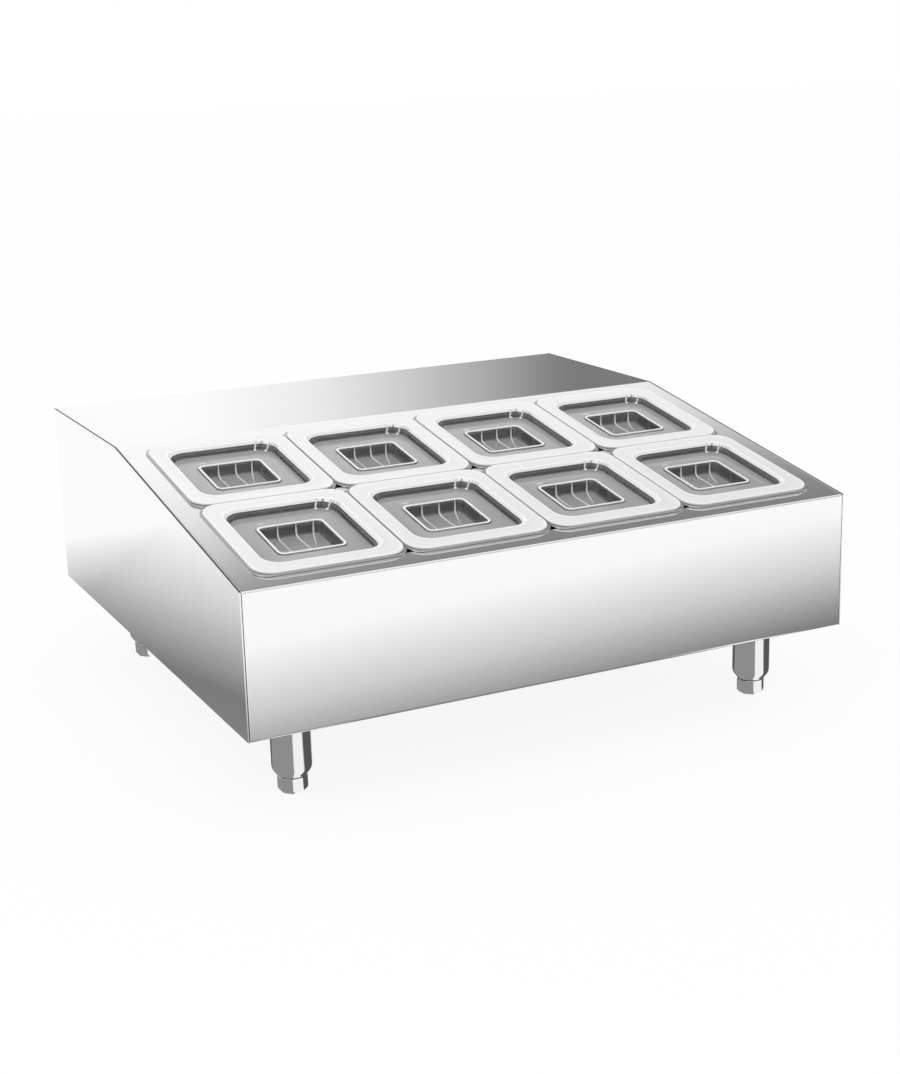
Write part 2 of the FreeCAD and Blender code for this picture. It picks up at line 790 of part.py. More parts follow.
def foam_insulation():
    """The foam round the tank, with room for the cooling plate and a way out for its pipes."""
    maker = Maker("foam_insulation")
    under = cell.cover_sheet + cell.seam + cell.side_sheet + cell.foam_clearance
    over = under + cell.base_sheet
    rear = HALF_DEPTH - BULKHEAD_FRONT + cell.foam_clearance
    profile = maker.sketch("YZ_Plane", -PLATE_HALF)
    draw_outline(profile, casing_outline(under, under, rear, over))
    maker.pad(profile, PLATE_HALF * 2)
    slack = (cell.liner_sheet + cell.foam_clearance) * 2
    tank = maker.deck_sketch()
    draw_rectangle(tank, OPENING_WIDTH + slack, OPENING_LENGTH + slack)
    maker.pocket(tank, cell.foam_clearance - LINER_FLOOR)
    plate = maker.deck_sketch()
    room = cell.foam_clearance * 2
    draw_rectangle(plate, PLATE_WIDTH + room, PLATE_LENGTH + room)
    maker.pocket(plate, cell.evaporator_sheet + cell.channel_radius + cell.foam_clearance - LINER_FLOOR)
    port = maker.sketch("XZ_Plane", -BULKHEAD_FRONT)
    draw_rectangle(port, cell.port_width, cell.port_height, ZERO, PORT_Z)
    maker.pocket(port, BULKHEAD_FRONT - PLATE_EDGE[1] + cell.evaporator_inset, reverse=True)


def evaporator_plate():
    """The cooling plate bonded under the tank, with its raised channels."""
    maker = Maker("evaporator_plate")
    plate = maker.sketch()
    draw_rectangle(plate, PLATE_WIDTH, PLATE_LENGTH)
    maker.pad(plate, cell.evaporator_sheet, reverse=True)
    first = cell.channel_pitch / 2 * (1 - CHANNELS)
    run = maker.sketch("YZ_Plane", cell.evaporator_inset - PLATE_WIDTH / 2)
    wide = cell.channel_radius
    narrow = cell.channel_radius * CHANNEL_CROWN_SHARE
    level = -cell.evaporator_sheet
    draw_outline(run, [
        (first - wide, level),
        (first - narrow, level - cell.channel_radius),
        (first + narrow, level - cell.channel_radius),
        (first + wide, level),
    ])
    channel = maker.pad(run, PLATE_WIDTH - cell.evaporator_inset * 2)
    maker.row(channel, "Y_Axis", cell.channel_pitch * (CHANNELS - 1), CHANNELS)
    lay_on_deck(maker.body, "Placement", ZERO, SLOPE / 2, LINER_FLOOR)


def pan_crossbar():
    """The folded bar between the two rows of pans."""
    maker = Maker("pan_crossbar")
    wide = cell.deck_lap
    narrow = wide - cell.bar_sheet
    profile = maker.sketch("YZ_Plane", cell.seam - OPENING_WIDTH / 2)
    draw_outline(profile, [
        (-wide, -cell.bar_height),
        (-narrow, -cell.bar_height),
        (-narrow, -cell.bar_sheet),
        (narrow, -cell.bar_sheet),
        (narrow, -cell.bar_height),
        (wide, -cell.bar_height),
        (wide, ZERO),
        (-wide, ZERO),
    ])
    maker.pad(profile, OPENING_WIDTH - cell.seam * 2)
    lay_on_deck(maker.body, "Placement", ZERO, SLOPE / 2, ZERO)


def crossbar_bracket(side, sign):
    """An angle on the tank's wall, under one end of the bar."""
    maker = Maker(f"{side}_bar_bracket")
    wall = OPENING_WIDTH / 2
    across = (cell.deck_lap - cell.bar_sheet - cell.seam) * 2
    top = -cell.bar_sheet
    profile = maker.sketch("XZ_Plane", -across / 2)
    draw_outline(profile, [
        (wall * sign, top),
        (wall * sign, top - cell.bracket_drop),
        ((wall - cell.bar_sheet) * sign, top - cell.bracket_drop),
        ((wall - cell.bar_sheet) * sign, top - cell.bar_sheet),
        ((wall - cell.bracket_length) * sign, top - cell.bar_sheet),
        ((wall - cell.bracket_length) * sign, top),
    ])
    maker.pad(profile, across)
    lay_on_deck(maker.body, "Placement", ZERO, SLOPE / 2, ZERO)


# Pans and lids

def pan(column, row):
    """A sixth-size pan: a flat flange and a tapered tub, with its corners bevelled."""
    maker = Maker(f"pan_{ROW_NAMES[row]}_{column + 1}")
    flange = maker.sketch()
    draw_bevelled(flange, cell.pan_width, cell.pan_length, cell.flange_corner)
    maker.pad(flange, cell.flange_thickness, reverse=True)
    mouth_width = cell.pan_width - cell.flange_width * 2
    mouth_length = cell.pan_length - cell.flange_width * 2
    wall = cell.pan_wall
    floor = cell.pan_depth - wall
    maker.wedge("Additive", ZERO, mouth_width + wall * 2, mouth_length + wall * 2,
                cell.pan_depth, cell.pan_taper)
    hollow = maker.wedge("Subtractive", ZERO, mouth_width, mouth_length, floor, cell.pan_taper)
    inside = maker.dress("Chamfer", hollow, spans(-floor, ZERO), Size=cell.pan_corner * BEVEL_SHARE)
    maker.dress("Chamfer", inside, spans(-cell.pan_depth, -cell.flange_thickness),
                Size=(cell.pan_corner + wall) * BEVEL_SHARE)
    across, along = pan_place(column, row)
    lay_on_deck(maker.body, "Placement", across, along, cell.pan_rest_gap + cell.flange_thickness)


def lid(column, row):
    """A clear moulded lid: rim with a turned-down edge, sunk well and a finger grip in its floor."""
    maker = Maker(f"lid_{ROW_NAMES[row]}_{column + 1}")
    wall = cell.lid_sheet
    width = cell.pan_width - cell.lid_inset * 2
    length = cell.pan_length - cell.lid_inset * 2
    rim = maker.sketch()
    draw_rounded(rim, width, length, cell.lid_corner)
    maker.pad(rim, cell.lid_height, reverse=True)
    under = maker.sketch(offset=-cell.lid_height)
    draw_bevelled(under, width - wall * 2, length - wall * 2, cell.lid_corner)
    maker.pocket(under, cell.lid_height - wall, reverse=True)
    well_floor = cell.well_depth
    grip_floor = cell.well_depth + cell.grip_depth
    maker.wedge("Additive", ZERO, cell.well_width + wall * 2, cell.well_length + wall * 2,
                well_floor + wall, cell.well_draft)
    maker.wedge("Additive", -well_floor, cell.grip_width + wall * 2, cell.grip_length + wall * 2,
                cell.grip_depth + wall, cell.grip_draft)
    well = maker.wedge("Subtractive", ZERO, cell.well_width, cell.well_length, well_floor, cell.well_draft)
    inside = maker.dress("Fillet", well, spans(-well_floor, ZERO), Radius=cell.well_corner)
    maker.dress("Chamfer", inside, spans(-well_floor - wall, -wall),
                Size=(cell.well_corner + wall) * BEVEL_SHARE)
    grip = maker.wedge("Subtractive", -well_floor, cell.grip_width, cell.grip_length,
                       cell.grip_depth, cell.grip_draft)
    inside = maker.dress("Chamfer", grip, spans(-grip_floor, -well_floor),
                         Size=cell.grip_corner * BEVEL_SHARE)
    maker.dress("Chamfer", inside, spans(-grip_floor - wall, -well_floor - wall),
                Size=(cell.grip_corner + wall) * BEVEL_SHARE)
    bead = maker.sketch(offset=-cell.well_depth)
    draw_bevelled(bead, cell.grip_width, cell.grip_length, cell.grip_corner)
    draw_bevelled(bead, cell.grip_width + cell.bead_width * 2, cell.grip_length + cell.bead_width * 2,
                  cell.grip_corner + cell.bead_width)
    maker.pad(bead, cell.bead_height)
    across, along = pan_place(column, row)
    out = cell.pan_rest_gap + cell.flange_thickness + cell.lid_rest_gap + cell.lid_height
    lay_on_deck(maker.body, "Placement", across, along, out)


# Legs

def legs():
    """Four legs welded under the floor, with bullet ends and the tapped holes for their feet."""
    low = cell.foot_height + cell.foot_gap
    bore = cell.thread_radius + cell.thread_clearance
    bore_top = cell.foot_height + cell.thread_length + cell.thread_runout
    high = BASE_TOP - cell.base_sheet
    bodies = []
    for name, (x, y) in LEG_PLACES.items():
        maker = Maker(f"leg_{name}", kept=False)
        maker.turn([
            (bore, low),
            (cell.leg_radius - cell.leg_chamfer, low),
            (cell.leg_radius, low + cell.leg_chamfer_height),
            (cell.leg_radius, high),
            (ZERO, high),
            (ZERO, bore_top),
            (bore, bore_top),
        ])
        bodies.append(placed(maker.body, (x, y, ZERO)))
    keep(group("four_legs", *bodies), "legs")


def foot(name, x, y):
    """The screw-in foot: eight wrench flats, a tapered sole and its thread."""
    maker = Maker(f"foot_{name}")
    flats = maker.sketch()
    draw_regular(flats, cell.foot_radius, FOOT_FLATS)
    body = maker.pad(flats, cell.foot_height)
    maker.dress("Chamfer", body, spans(ZERO, ZERO), Size=cell.foot_chamfer)
    thread = maker.sketch(offset=cell.foot_height)
    draw_circle(thread, cell.thread_radius)
    maker.pad(thread, cell.thread_length)
    placed(maker.body, (x, y, ZERO))


# Cooling machine

def compressor():
    """The sealed shell with its domed top, its mounting plate and rubber feet, and the terminal cover."""
    maker = Maker("compressor_shell")
    plan = maker.sketch()
    draw_bevelled(plan, cell.compressor_length, cell.compressor_width, cell.compressor_corner)
    can = maker.pad(plan, cell.compressor_height)
    domed = maker.dress("Chamfer", can, spans(cell.compressor_height, cell.compressor_height),
                        Size=cell.compressor_dome)
    maker.dress("Chamfer", domed, spans(ZERO, ZERO), Size=cell.compressor_sump)
    placed(maker.body, (COMPRESSOR_X, COMPRESSOR_Y, SHELL_Z))
    length = cell.mount_plate_length
    width = cell.mount_plate_width
    plate_corner = (COMPRESSOR_X - length / 2, COMPRESSOR_Y - width / 2, MOUNT_Z)
    plate = block("mount_plate", plate_corner, (length, width, cell.mount_plate_sheet))
    keep(plate, "compressor_mount_plate")
    reach_x = length / 2 - cell.grommet_inset
    reach_y = width / 2 - cell.grommet_inset
    grommets = []
    for across in (-1, 1):
        for along in (-1, 1):
            point = (COMPRESSOR_X + reach_x * across, COMPRESSOR_Y + reach_y * along, BASE_TOP)
            grommets.append(prism(f"grommet_{across + 1}{along + 1}", cell.grommet_radius,
                                  GROMMET_SIDES, cell.grommet_height, point))
    keep(group("grommets", *grommets), "compressor_grommets")
    cover_corner = (COMPRESSOR_X - cell.compressor_length / 2 - cell.terminal_depth,
                    COMPRESSOR_Y - cell.terminal_width / 2, SHELL_Z + cell.terminal_lift)
    cover = block("terminal_cover", cover_corner,
                  (cell.terminal_depth, cell.terminal_width, cell.terminal_height))
    keep(cover, "compressor_terminal_cover")


def condenser():
    """Flat tubes between two upright headers, with thin fins standing between the tubes."""
    headers = [rod(f"header_{sign + 1}", cell.header_radius, HEADER_HEIGHT,
                   (CONDENSER_X + HEADER_X * sign, CONDENSER_MIDDLE, BASE_TOP)) for sign in (-1, 1)]
    keep(group("headers", *headers), "condenser_headers")
    left = CONDENSER_X - cell.condenser_width / 2
    step = (cell.condenser_height - cell.flat_tube_height) / (FLAT_TUBES - 1)
    levels = [CONDENSER_Z + step * level for level in range(FLAT_TUBES)]
    tubes = [block(f"flat_tube_{number}", (left, CONDENSER_FRONT, z),
                   (cell.condenser_width, cell.condenser_depth, cell.flat_tube_height))
             for number, z in enumerate(levels)]
    keep(group("flat_tubes", *tubes), "condenser_tubes")
    fin_size = (cell.fin_sheet, cell.condenser_depth, step - cell.flat_tube_height)
    spacing = cell.condenser_width / (FINS_PER_BAND + 1)
    fins = []
    for number, z in enumerate(levels[:-1]):
        for place in range(1, FINS_PER_BAND + 1):
            corner = (left + spacing * place, CONDENSER_FRONT, z + cell.flat_tube_height)
            fins.append(block(f"fin_{number}_{place}", corner, fin_size))
    keep(group("fins", *fins), "condenser_fins")


def fan():
    """Shroud, bladed rotor on its shaft, motor and the bracket that holds the motor."""
    shroud = Maker("fan_shroud")
    plate = shroud.sketch("XZ_Plane", -SHROUD_FRONT)
    width = cell.condenser_width - cell.header_radius * 2
    draw_rectangle(plate, width, HEADER_HEIGHT, CONDENSER_X, BASE_TOP + HEADER_HEIGHT / 2)
    draw_circle(plate, cell.fan_radius + cell.fan_clearance, CONDENSER_X, FAN_Z)
    shroud.pad(plate, cell.shroud_sheet, reverse=True)

    rotor = Maker("fan_rotor")
    hub = rotor.sketch("XZ_Plane")
    draw_regular(hub, cell.fan_hub_radius, HUB_SIDES)
    rotor.pad(hub, cell.fan_hub_depth, reverse=True)
    shaft = rotor.sketch("XZ_Plane")
    draw_circle(shaft, cell.shaft_radius)
    rotor.pad(shaft, cell.motor_gap - cell.seam)
    start = cell.fan_hub_radius * BLADE_ROOT_SHARE
    section = rotor.sketch("XY_Plane", start)
    level = cell.blade_pitch / cell.blade_chord
    flat = root(1 - level * level)
    half_chord = cell.blade_chord / 2
    half_sheet = cell.blade_sheet / 2
    draw_outline(section, [
        (half_chord * flat * a - half_sheet * level * b,
         cell.fan_hub_depth / 2 + half_chord * level * a + half_sheet * flat * b)
        for a, b in ((-1, -1), (1, -1), (1, 1), (-1, 1))
    ])
    tip = root(cell.fan_radius * cell.fan_radius - half_chord * half_chord)
    blade = rotor.pad(section, tip - start)
    rotor.ring(blade, "Y_Axis", FAN_BLADES)
    placed(rotor.body, (CONDENSER_X, HUB_REAR - cell.fan_hub_depth, FAN_Z))

    side = cell.motor_width
    keep(block("motor", (CONDENSER_X - side / 2, MOTOR_FRONT, FAN_Z - side / 2),
               (side, cell.motor_depth, side)), "fan_motor")
    bracket = Maker("fan_motor_bracket")
    strap = bracket.sketch(offset=FAN_Z - cell.motor_bracket_width / 2)
    inner = cell.fan_radius + cell.fan_clearance
    outer = inner + cell.motor_bracket_sheet
    toe = outer + cell.motor_bracket_foot
    near = MOTOR_FRONT - cell.motor_bracket_sheet
    ledge = SHROUD_FRONT - cell.motor_bracket_sheet
    half = [
        (inner, MOTOR_FRONT),
        (inner, SHROUD_FRONT),
        (toe, SHROUD_FRONT),
        (toe, ledge),
        (outer, ledge),
        (outer, near),
    ]
    draw_outline(strap, [(CONDENSER_X + x, y) for x, y in half]
                 + [(CONDENSER_X - x, y) for x, y in reversed(half)])
    bracket.pad(strap, cell.motor_bracket_width)


def pipes():
    """The refrigerant's way round: suction, discharge, drier and capillary."""
    shell_right = COMPRESSOR_X + cell.compressor_length / 2
    left_header = CONDENSER_X - HEADER_X
    right_header = CONDENSER_X + HEADER_X
    header_front = CONDENSER_MIDDLE - cell.header_radius
    plate_rear = PLATE_EDGE[1] + cell.seam
    suction_y = COMPRESSOR_Y - cell.pipe_spread
    keep(tube("suction_run", cell.suction_radius, [
        (-cell.port_width / 4, plate_rear, PORT_Z),
        (-cell.port_width / 4, suction_y, PORT_Z),
        (shell_right, suction_y, PORT_Z),
    ]), "suction_pipe")
    discharge_y = COMPRESSOR_Y + cell.pipe_spread
    discharge_z = SHELL_Z + cell.discharge_lift
    keep(tube("discharge_run", cell.discharge_radius, [
        (shell_right, discharge_y, discharge_z),
        (left_header, discharge_y, discharge_z),
        (left_header, header_front, discharge_z),
    ]), "discharge_pipe")
    drier_front = header_front - cell.drier_length
    keep(rod("drier", cell.drier_radius, cell.drier_length, (right_header, drier_front, PORT_Z), "Y"),
         "filter_drier")
    run_y = BULKHEAD_FRONT + cell.capillary_setback
    keep(tube("capillary_run", cell.capillary_radius, [
        (right_header, drier_front, PORT_Z),
        (right_header, run_y, PORT_Z),
        (cell.port_width / 4, run_y, PORT_Z),
        (cell.port_width / 4, plate_rear, PORT_Z),
    ]), "capillary_tube")


# Controls

def thermostat():
    """The thermostat behind the rear panel, its shaft through it and the knob outside."""
    side = cell.thermostat_width
    body = block("thermostat_body", (THERMOSTAT_X - side / 2, PANEL_FRONT - cell.thermostat_depth,
                                     CONTROL_Z - side / 2), (side, cell.thermostat_depth, side))
    shaft_length = cell.rear_sheet + cell.knob_gap + cell.knob_socket - cell.seam
    shaft = rod("thermostat_shaft", cell.knob_shaft_radius, shaft_length,
                (THERMOSTAT_X, PANEL_FRONT, CONTROL_Z), "Y")
    keep(joined("thermostat_whole", body, shaft), "thermostat")
    maker = Maker("thermostat_knob")
    grip = maker.sketch("XZ_Plane")
    draw_regular(grip, cell.knob_radius, KNOB_SIDES)
    maker.pad(grip, cell.knob_depth, reverse=True)
    pointer = maker.sketch("XZ_Plane", -cell.knob_depth)
    draw_rectangle(pointer, cell.knob_pointer, cell.knob_radius, ZERO, cell.knob_radius / 2)
    maker.pad(pointer, cell.knob_pointer, reverse=True)
    socket = maker.sketch("XZ_Plane")
    draw_circle(socket, cell.knob_shaft_radius + cell.shaft_clearance)
    maker.pocket(socket, cell.knob_socket)
    placed(maker.body, (THERMOSTAT_X, REAR_FACE + cell.knob_gap, CONTROL_Z))


def power_switch():
    """The mains switch: a case through the rear panel and the rocker in its mouth."""
    width = cell.switch_width
    height = cell.switch_height
    rim = cell.switch_bezel
    well = cell.rocker_half_depth * 2
    left = SWITCH_X - width / 2
    low = CONTROL_Z - height / 2
    case = block("switch_case", (left, REAR_FACE - cell.switch_depth, low),
                 (width, cell.switch_depth, height))
    bezel = block("switch_rim", (left - rim, REAR_FACE, low - rim),
                  (width + rim * 2, rim, height + rim * 2))
    mouth = block("switch_mouth", (left + rim, REAR_FACE - well, low + rim),
                  (width - rim * 2, well + rim, height - rim * 2))
    keep(cut("switch_open", joined("switch_body", case, bezel), mouth), "power_switch")
    maker = Maker("switch_rocker")
    half_width = width / 2 - rim - cell.rocker_gap
    half_height = cell.rocker_half_height
    depth = cell.rocker_half_depth
    profile = maker.sketch("YZ_Plane", -half_width)
    draw_outline(profile, [
        (-depth, -half_height * ROCKER_BACK_SHARE),
        (ZERO, -half_height),
        (depth, -half_height),
        (depth * ROCKER_DIP_SHARE, ZERO),
        (depth, half_height),
        (ZERO, half_height),
        (-depth, half_height * ROCKER_BACK_SHARE),
    ])
    maker.pad(profile, half_width * 2)
    point = (SWITCH_X, REAR_FACE + rim - depth, CONTROL_Z)
    tilt = math.degrees(math.atan2(cell.rocker_tilt_rise.value, half_height.value))
    placed(maker.body, point, FreeCAD.Rotation(FreeCAD.Vector(1, 0, 0), tilt))
    tilt_text = f"atan({cell.rocker_tilt_rise.text} / {half_height.text})"
    maker.body.setExpression("Placement.Rotation.Angle", tilt_text)


def cord_bushing():
    """The strain-relief bushing, where the mains lead comes through the rear panel."""
    maker = Maker("cord_bushing")
    radius = cell.bushing_width / 2
    behind = cell.bushing_depth + cell.rear_sheet
    body = maker.sketch("XZ_Plane")
    draw_regular(body, radius, BUSHING_SIDES)
    maker.pad(body, behind)
    head = maker.sketch("XZ_Plane")
    draw_regular(head, radius + cell.bushing_rim, BUSHING_SIDES)
    maker.pad(head, cell.bushing_head, reverse=True)
    hole = maker.sketch("XZ_Plane", behind)
    draw_circle(hole, cell.cord_radius)
    maker.pocket(hole, behind + cell.bushing_head)
    placed(maker.body, (BUSHING_X, REAR_FACE, BUSHING_Z))


def build():
    """Make every sub-part, check it and write its file."""
    for side, sign in zip(SIDE_NAMES, (-1, 1)):
        side_panel(side, sign)
        crossbar_bracket(side, sign)
    deck_and_front_cover()
    base_panel()
    rear_panel()
    bulkhead()
    well_liner()
    foam_insulation()
    evaporator_plate()
    pan_crossbar()
    for row in range(PAN_ROWS):
        for column in range(PAN_COLUMNS):
            pan(column, row)
            lid(column, row)
    legs()
    for name, (x, y) in LEG_PLACES.items():
        foot(name, x, y)
    compressor()
    condenser()
    fan()
    pipes()
    thermostat()
    power_switch()
    cord_bushing()
    doc.recompute()

    for thing in doc.Objects:
        if {"Invalid", "Error"} & set(thing.State):
            raise RuntimeError(f"{thing.Name} is {thing.State}")
    for thing in subparts:
        if thing.Shape.isNull() or not thing.Shape.isValid():
            raise RuntimeError(f"{thing.Label} has no valid shape")
    os.makedirs("parts", exist_ok=True)
    for thing in subparts:
        thing.Shape.exportStep(os.path.join("parts", f"{thing.Label}.step"))
        print(f"{thing.Label}: {len(thing.Shape.Solids)} solids, {thing.Shape.Volume:.0f} mm3")


build()
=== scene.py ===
"""Refrigerated topping unit: a steel casing with eight pans under clear lids, on four legs.

All sizes are in metres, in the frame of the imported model: X to the right, Y to the back and Z up
from the counter, with the origin under the middle of the casing.
"""
from __future__ import annotations

import json
import logging
import math
from dataclasses import dataclass, field
from enum import Enum

import bpy
import numpy as np
from mathutils import Matrix, Vector
from mathutils.geometry import delaunay_2d_cdt

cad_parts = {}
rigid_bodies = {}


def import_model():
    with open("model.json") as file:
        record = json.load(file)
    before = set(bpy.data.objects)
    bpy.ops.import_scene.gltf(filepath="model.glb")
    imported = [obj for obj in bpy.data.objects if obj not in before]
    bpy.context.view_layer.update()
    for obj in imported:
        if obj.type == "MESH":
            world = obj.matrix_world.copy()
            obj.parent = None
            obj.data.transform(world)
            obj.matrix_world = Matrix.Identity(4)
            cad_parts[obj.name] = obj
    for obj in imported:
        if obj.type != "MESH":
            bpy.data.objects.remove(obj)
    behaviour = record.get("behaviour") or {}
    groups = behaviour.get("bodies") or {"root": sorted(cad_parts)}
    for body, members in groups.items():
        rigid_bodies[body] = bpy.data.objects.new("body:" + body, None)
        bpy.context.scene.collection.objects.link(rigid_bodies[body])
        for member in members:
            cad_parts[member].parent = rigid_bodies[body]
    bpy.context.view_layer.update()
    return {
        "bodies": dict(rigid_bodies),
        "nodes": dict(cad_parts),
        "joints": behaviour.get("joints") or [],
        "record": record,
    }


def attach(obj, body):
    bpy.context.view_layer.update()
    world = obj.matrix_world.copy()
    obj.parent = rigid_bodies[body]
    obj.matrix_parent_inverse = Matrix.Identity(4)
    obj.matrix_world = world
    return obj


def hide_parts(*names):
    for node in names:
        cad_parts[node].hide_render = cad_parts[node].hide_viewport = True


LOG = logging.getLogger("topping_unit")
MM = 0.001
CUT_LIMIT = 0.42  # the most of a side that one corner's curve may take
LEAD = 1.18  # how far from the corner the point beside its curve stands, in cuts
LEAD_LIMIT = 0.48  # the most of a side that this point may stand from the corner

Faces = list[tuple[int, ...]]
Colour = tuple[float, float, float]
Stops = tuple[tuple[float, float], ...]
Rows = tuple[tuple[float, ...], ...]
Node = bpy.types.Node
Socket = bpy.types.NodeSocket


# Shapes as whole arrays

def soften(corners: np.ndarray, cuts: np.ndarray, steps: int = 5) -> np.ndarray:
    """Round the corners of a path in any number of dimensions.

    Each corner P is cut back by its own amount towards both neighbours, to A and B, and the curve
    (1-t)^2 A + 2t(1-t) P + t^2 B joins the two. A point a little before A and one a little after B
    keep the flats beside the curve flat in the shading.

    Args:
        corners: One row for each corner.
        cuts: How far each corner is cut back; zero keeps it sharp.
        steps: Points on each curve.

    Returns:
        The rows of the rounded path.
    """
    rows: list[np.ndarray] = []
    t = np.linspace(0.0, 1.0, steps)[:, None]
    for place, (corner, cut) in enumerate(zip(corners, cuts)):
        if cut <= 0 or place in (0, len(corners) - 1):
            rows.append(corner[None])
            continue
        before, after = corners[place - 1] - corner, corners[place + 1] - corner
        back, ahead = np.linalg.norm(before), np.linalg.norm(after)
        a = corner + before * min(cut / back, CUT_LIMIT)
        b = corner + after * min(cut / ahead, CUT_LIMIT)
        lead = corner + before * min(cut * LEAD / back, LEAD_LIMIT)
        trail = corner + after * min(cut * LEAD / ahead, LEAD_LIMIT)
        rows += [lead[None], (1 - t) ** 2 * a + 2 * t * (1 - t) * corner + t ** 2 * b, trail[None]]
    return np.concatenate(rows)


def eased(rows: Rows, steps: int) -> np.ndarray:
    """Soften a path given in mm, each row of which ends with that corner's cut."""
    table = np.array(rows) * MM
    return soften(table[:, :-1], table[:, -1], steps)


def rounded_loops(half_widths: np.ndarray, half_lengths: np.ndarray, corners: np.ndarray,
                  levels: np.ndarray, steps: int = 9) -> np.ndarray:
    """Stack rectangles with round corners, one for each level.

    Quarter circles of the corner's radius stand on the four corners of the rectangle that is
    smaller by that radius, and all loops have the same number of points.

    Args:
        half_widths: Half of each loop's size across.
        half_lengths: Half of each loop's size along.
        corners: Each loop's corner radius.
        levels: Each loop's height.
        steps: Points on each quarter circle.

    Returns:
        Array of loops, points and coordinates.
    """
    turns = np.linspace(0.0, math.pi / 2, steps)[None, :] + np.arange(4)[:, None] * math.pi / 2
    sign_x = np.array([1, -1, -1, 1])[:, None]
    sign_y = np.array([1, 1, -1, -1])[:, None]
    radius = corners[:, None, None]
    x = (half_widths[:, None, None] - radius) * sign_x + radius * np.cos(turns)
    y = (half_lengths[:, None, None] - radius) * sign_y + radius * np.sin(turns)
    z = np.broadcast_to(levels[:, None, None], x.shape)
    return np.stack((x, y, z), -1).reshape(len(levels), -1, 3)


def rounded_outline(width: float, length: float, radius: float, steps: int) -> np.ndarray:
    """One rectangle with round corners, flat at level zero."""
    sizes = np.array([[width / 2], [length / 2], [radius], [0.0]])
    return rounded_loops(*sizes, steps)[0]


def turned_loops(radii: np.ndarray, levels: np.ndarray, sides: int = 40,
                 flutes: int = 0, depth: float = 0.0) -> np.ndarray:
    """Stack circles, one for each level: x = r cos a, y = r sin a, with r less depth times a wave.

    Args:
        radii: Each circle's radius.
        levels: Each circle's height.
        sides: Points on each circle.
        flutes: Waves round the circle.
        depth: Depth of the waves as a share of the radius.

    Returns:
        Array of loops, points and coordinates.
    """
    turns = np.arange(sides) * math.tau / sides
    wave = 1 - depth * (0.5 - 0.5 * np.cos(turns * flutes)) if flutes else np.ones(sides)
    x = radii[:, None] * np.cos(turns) * wave
    y = radii[:, None] * np.sin(turns) * wave
    return np.stack((x, y, np.broadcast_to(levels[:, None], x.shape)), -1)


def sided_loops(radii: np.ndarray, levels: np.ndarray, sides: int, ease: float = 0.08,
                steps: int = 3) -> np.ndarray:
    """Stack regular outlines with eased corners, one for each level.

    Each corner of the unit outline is softened as in soften, and the outline is scaled by the
    radius of each level.

    Args:
        radii: Each level's radius to its corners.
        levels: Each level's height.
        sides: Number of flats.
        ease: Cut of each corner, as a share of the radius.
        steps: Points on each eased corner.

    Returns:
        Array of loops, points and coordinates.
    """
    turns = (np.arange(sides + 2) + 0.5) * math.tau / sides
    unit = np.stack((np.cos(turns), np.sin(turns)), -1)
    flat = soften(unit, np.full(sides + 2, ease), steps)[1:-1]
    xy = radii[:, None, None] * flat[None]
    z = np.broadcast_to(levels[:, None, None], (*xy.shape[:2], 1))
    return np.concatenate((xy, z), -1)


def tube_loops(path: np.ndarray, radii: np.ndarray, side: tuple[float, float, float],
               sides: int = 10) -> np.ndarray:
    """Carry a circle along a path: point = P + r (side cos a + up sin a), up = tangent x side.

    Args:
        path: Points of the middle line.
        radii: The radius at each point.
        side: A direction square to the whole path.
        sides: Points on the circle.

    Returns:
        Array of loops, points and coordinates.
    """
    tangent = np.gradient(path, axis=0)
    tangent /= np.linalg.norm(tangent, axis=1)[:, None]
    across = np.broadcast_to(np.array(side, float), path.shape)
    up = np.cross(tangent, across)
    turns = np.arange(sides) * math.tau / sides
    ring = (across[:, None] * np.cos(turns)[None, :, None] + up[:, None] * np.sin(turns)[None, :, None])
    return path[:, None] + radii[:, None, None] * ring


def box_loops(low: np.ndarray, high: np.ndarray, ease: float) -> np.ndarray:
    """A block with eased edges, as loops from its bottom to its top.

    Args:
        low: Lowest corner.
        high: Highest corner.
        ease: Radius of its edges.

    Returns:
        Array of loops, points and coordinates.
    """
    half, middle = (high - low) / 2, (high + low) / 2
    turn = np.linspace(0, math.pi / 2, 4)
    inset = ease * (1 - np.sin(turn))
    rise = ease * (1 - np.cos(turn))
    insets = np.concatenate((inset, inset[::-1]))
    levels = np.concatenate((-half[2] + rise, half[2] - rise[::-1]))
    loops = rounded_loops(half[0] - insets, half[1] - insets, np.full(8, ease) - insets * 0.5,
                          levels, 4)
    return loops + middle


def grid_faces(rows: int, columns: int) -> np.ndarray:
    """The quads between the points of a grid, row by row."""
    first = (np.arange(rows - 1)[:, None] * columns + np.arange(columns - 1)).ravel()
    return np.stack((first, first + 1, first + columns + 1, first + columns), -1)


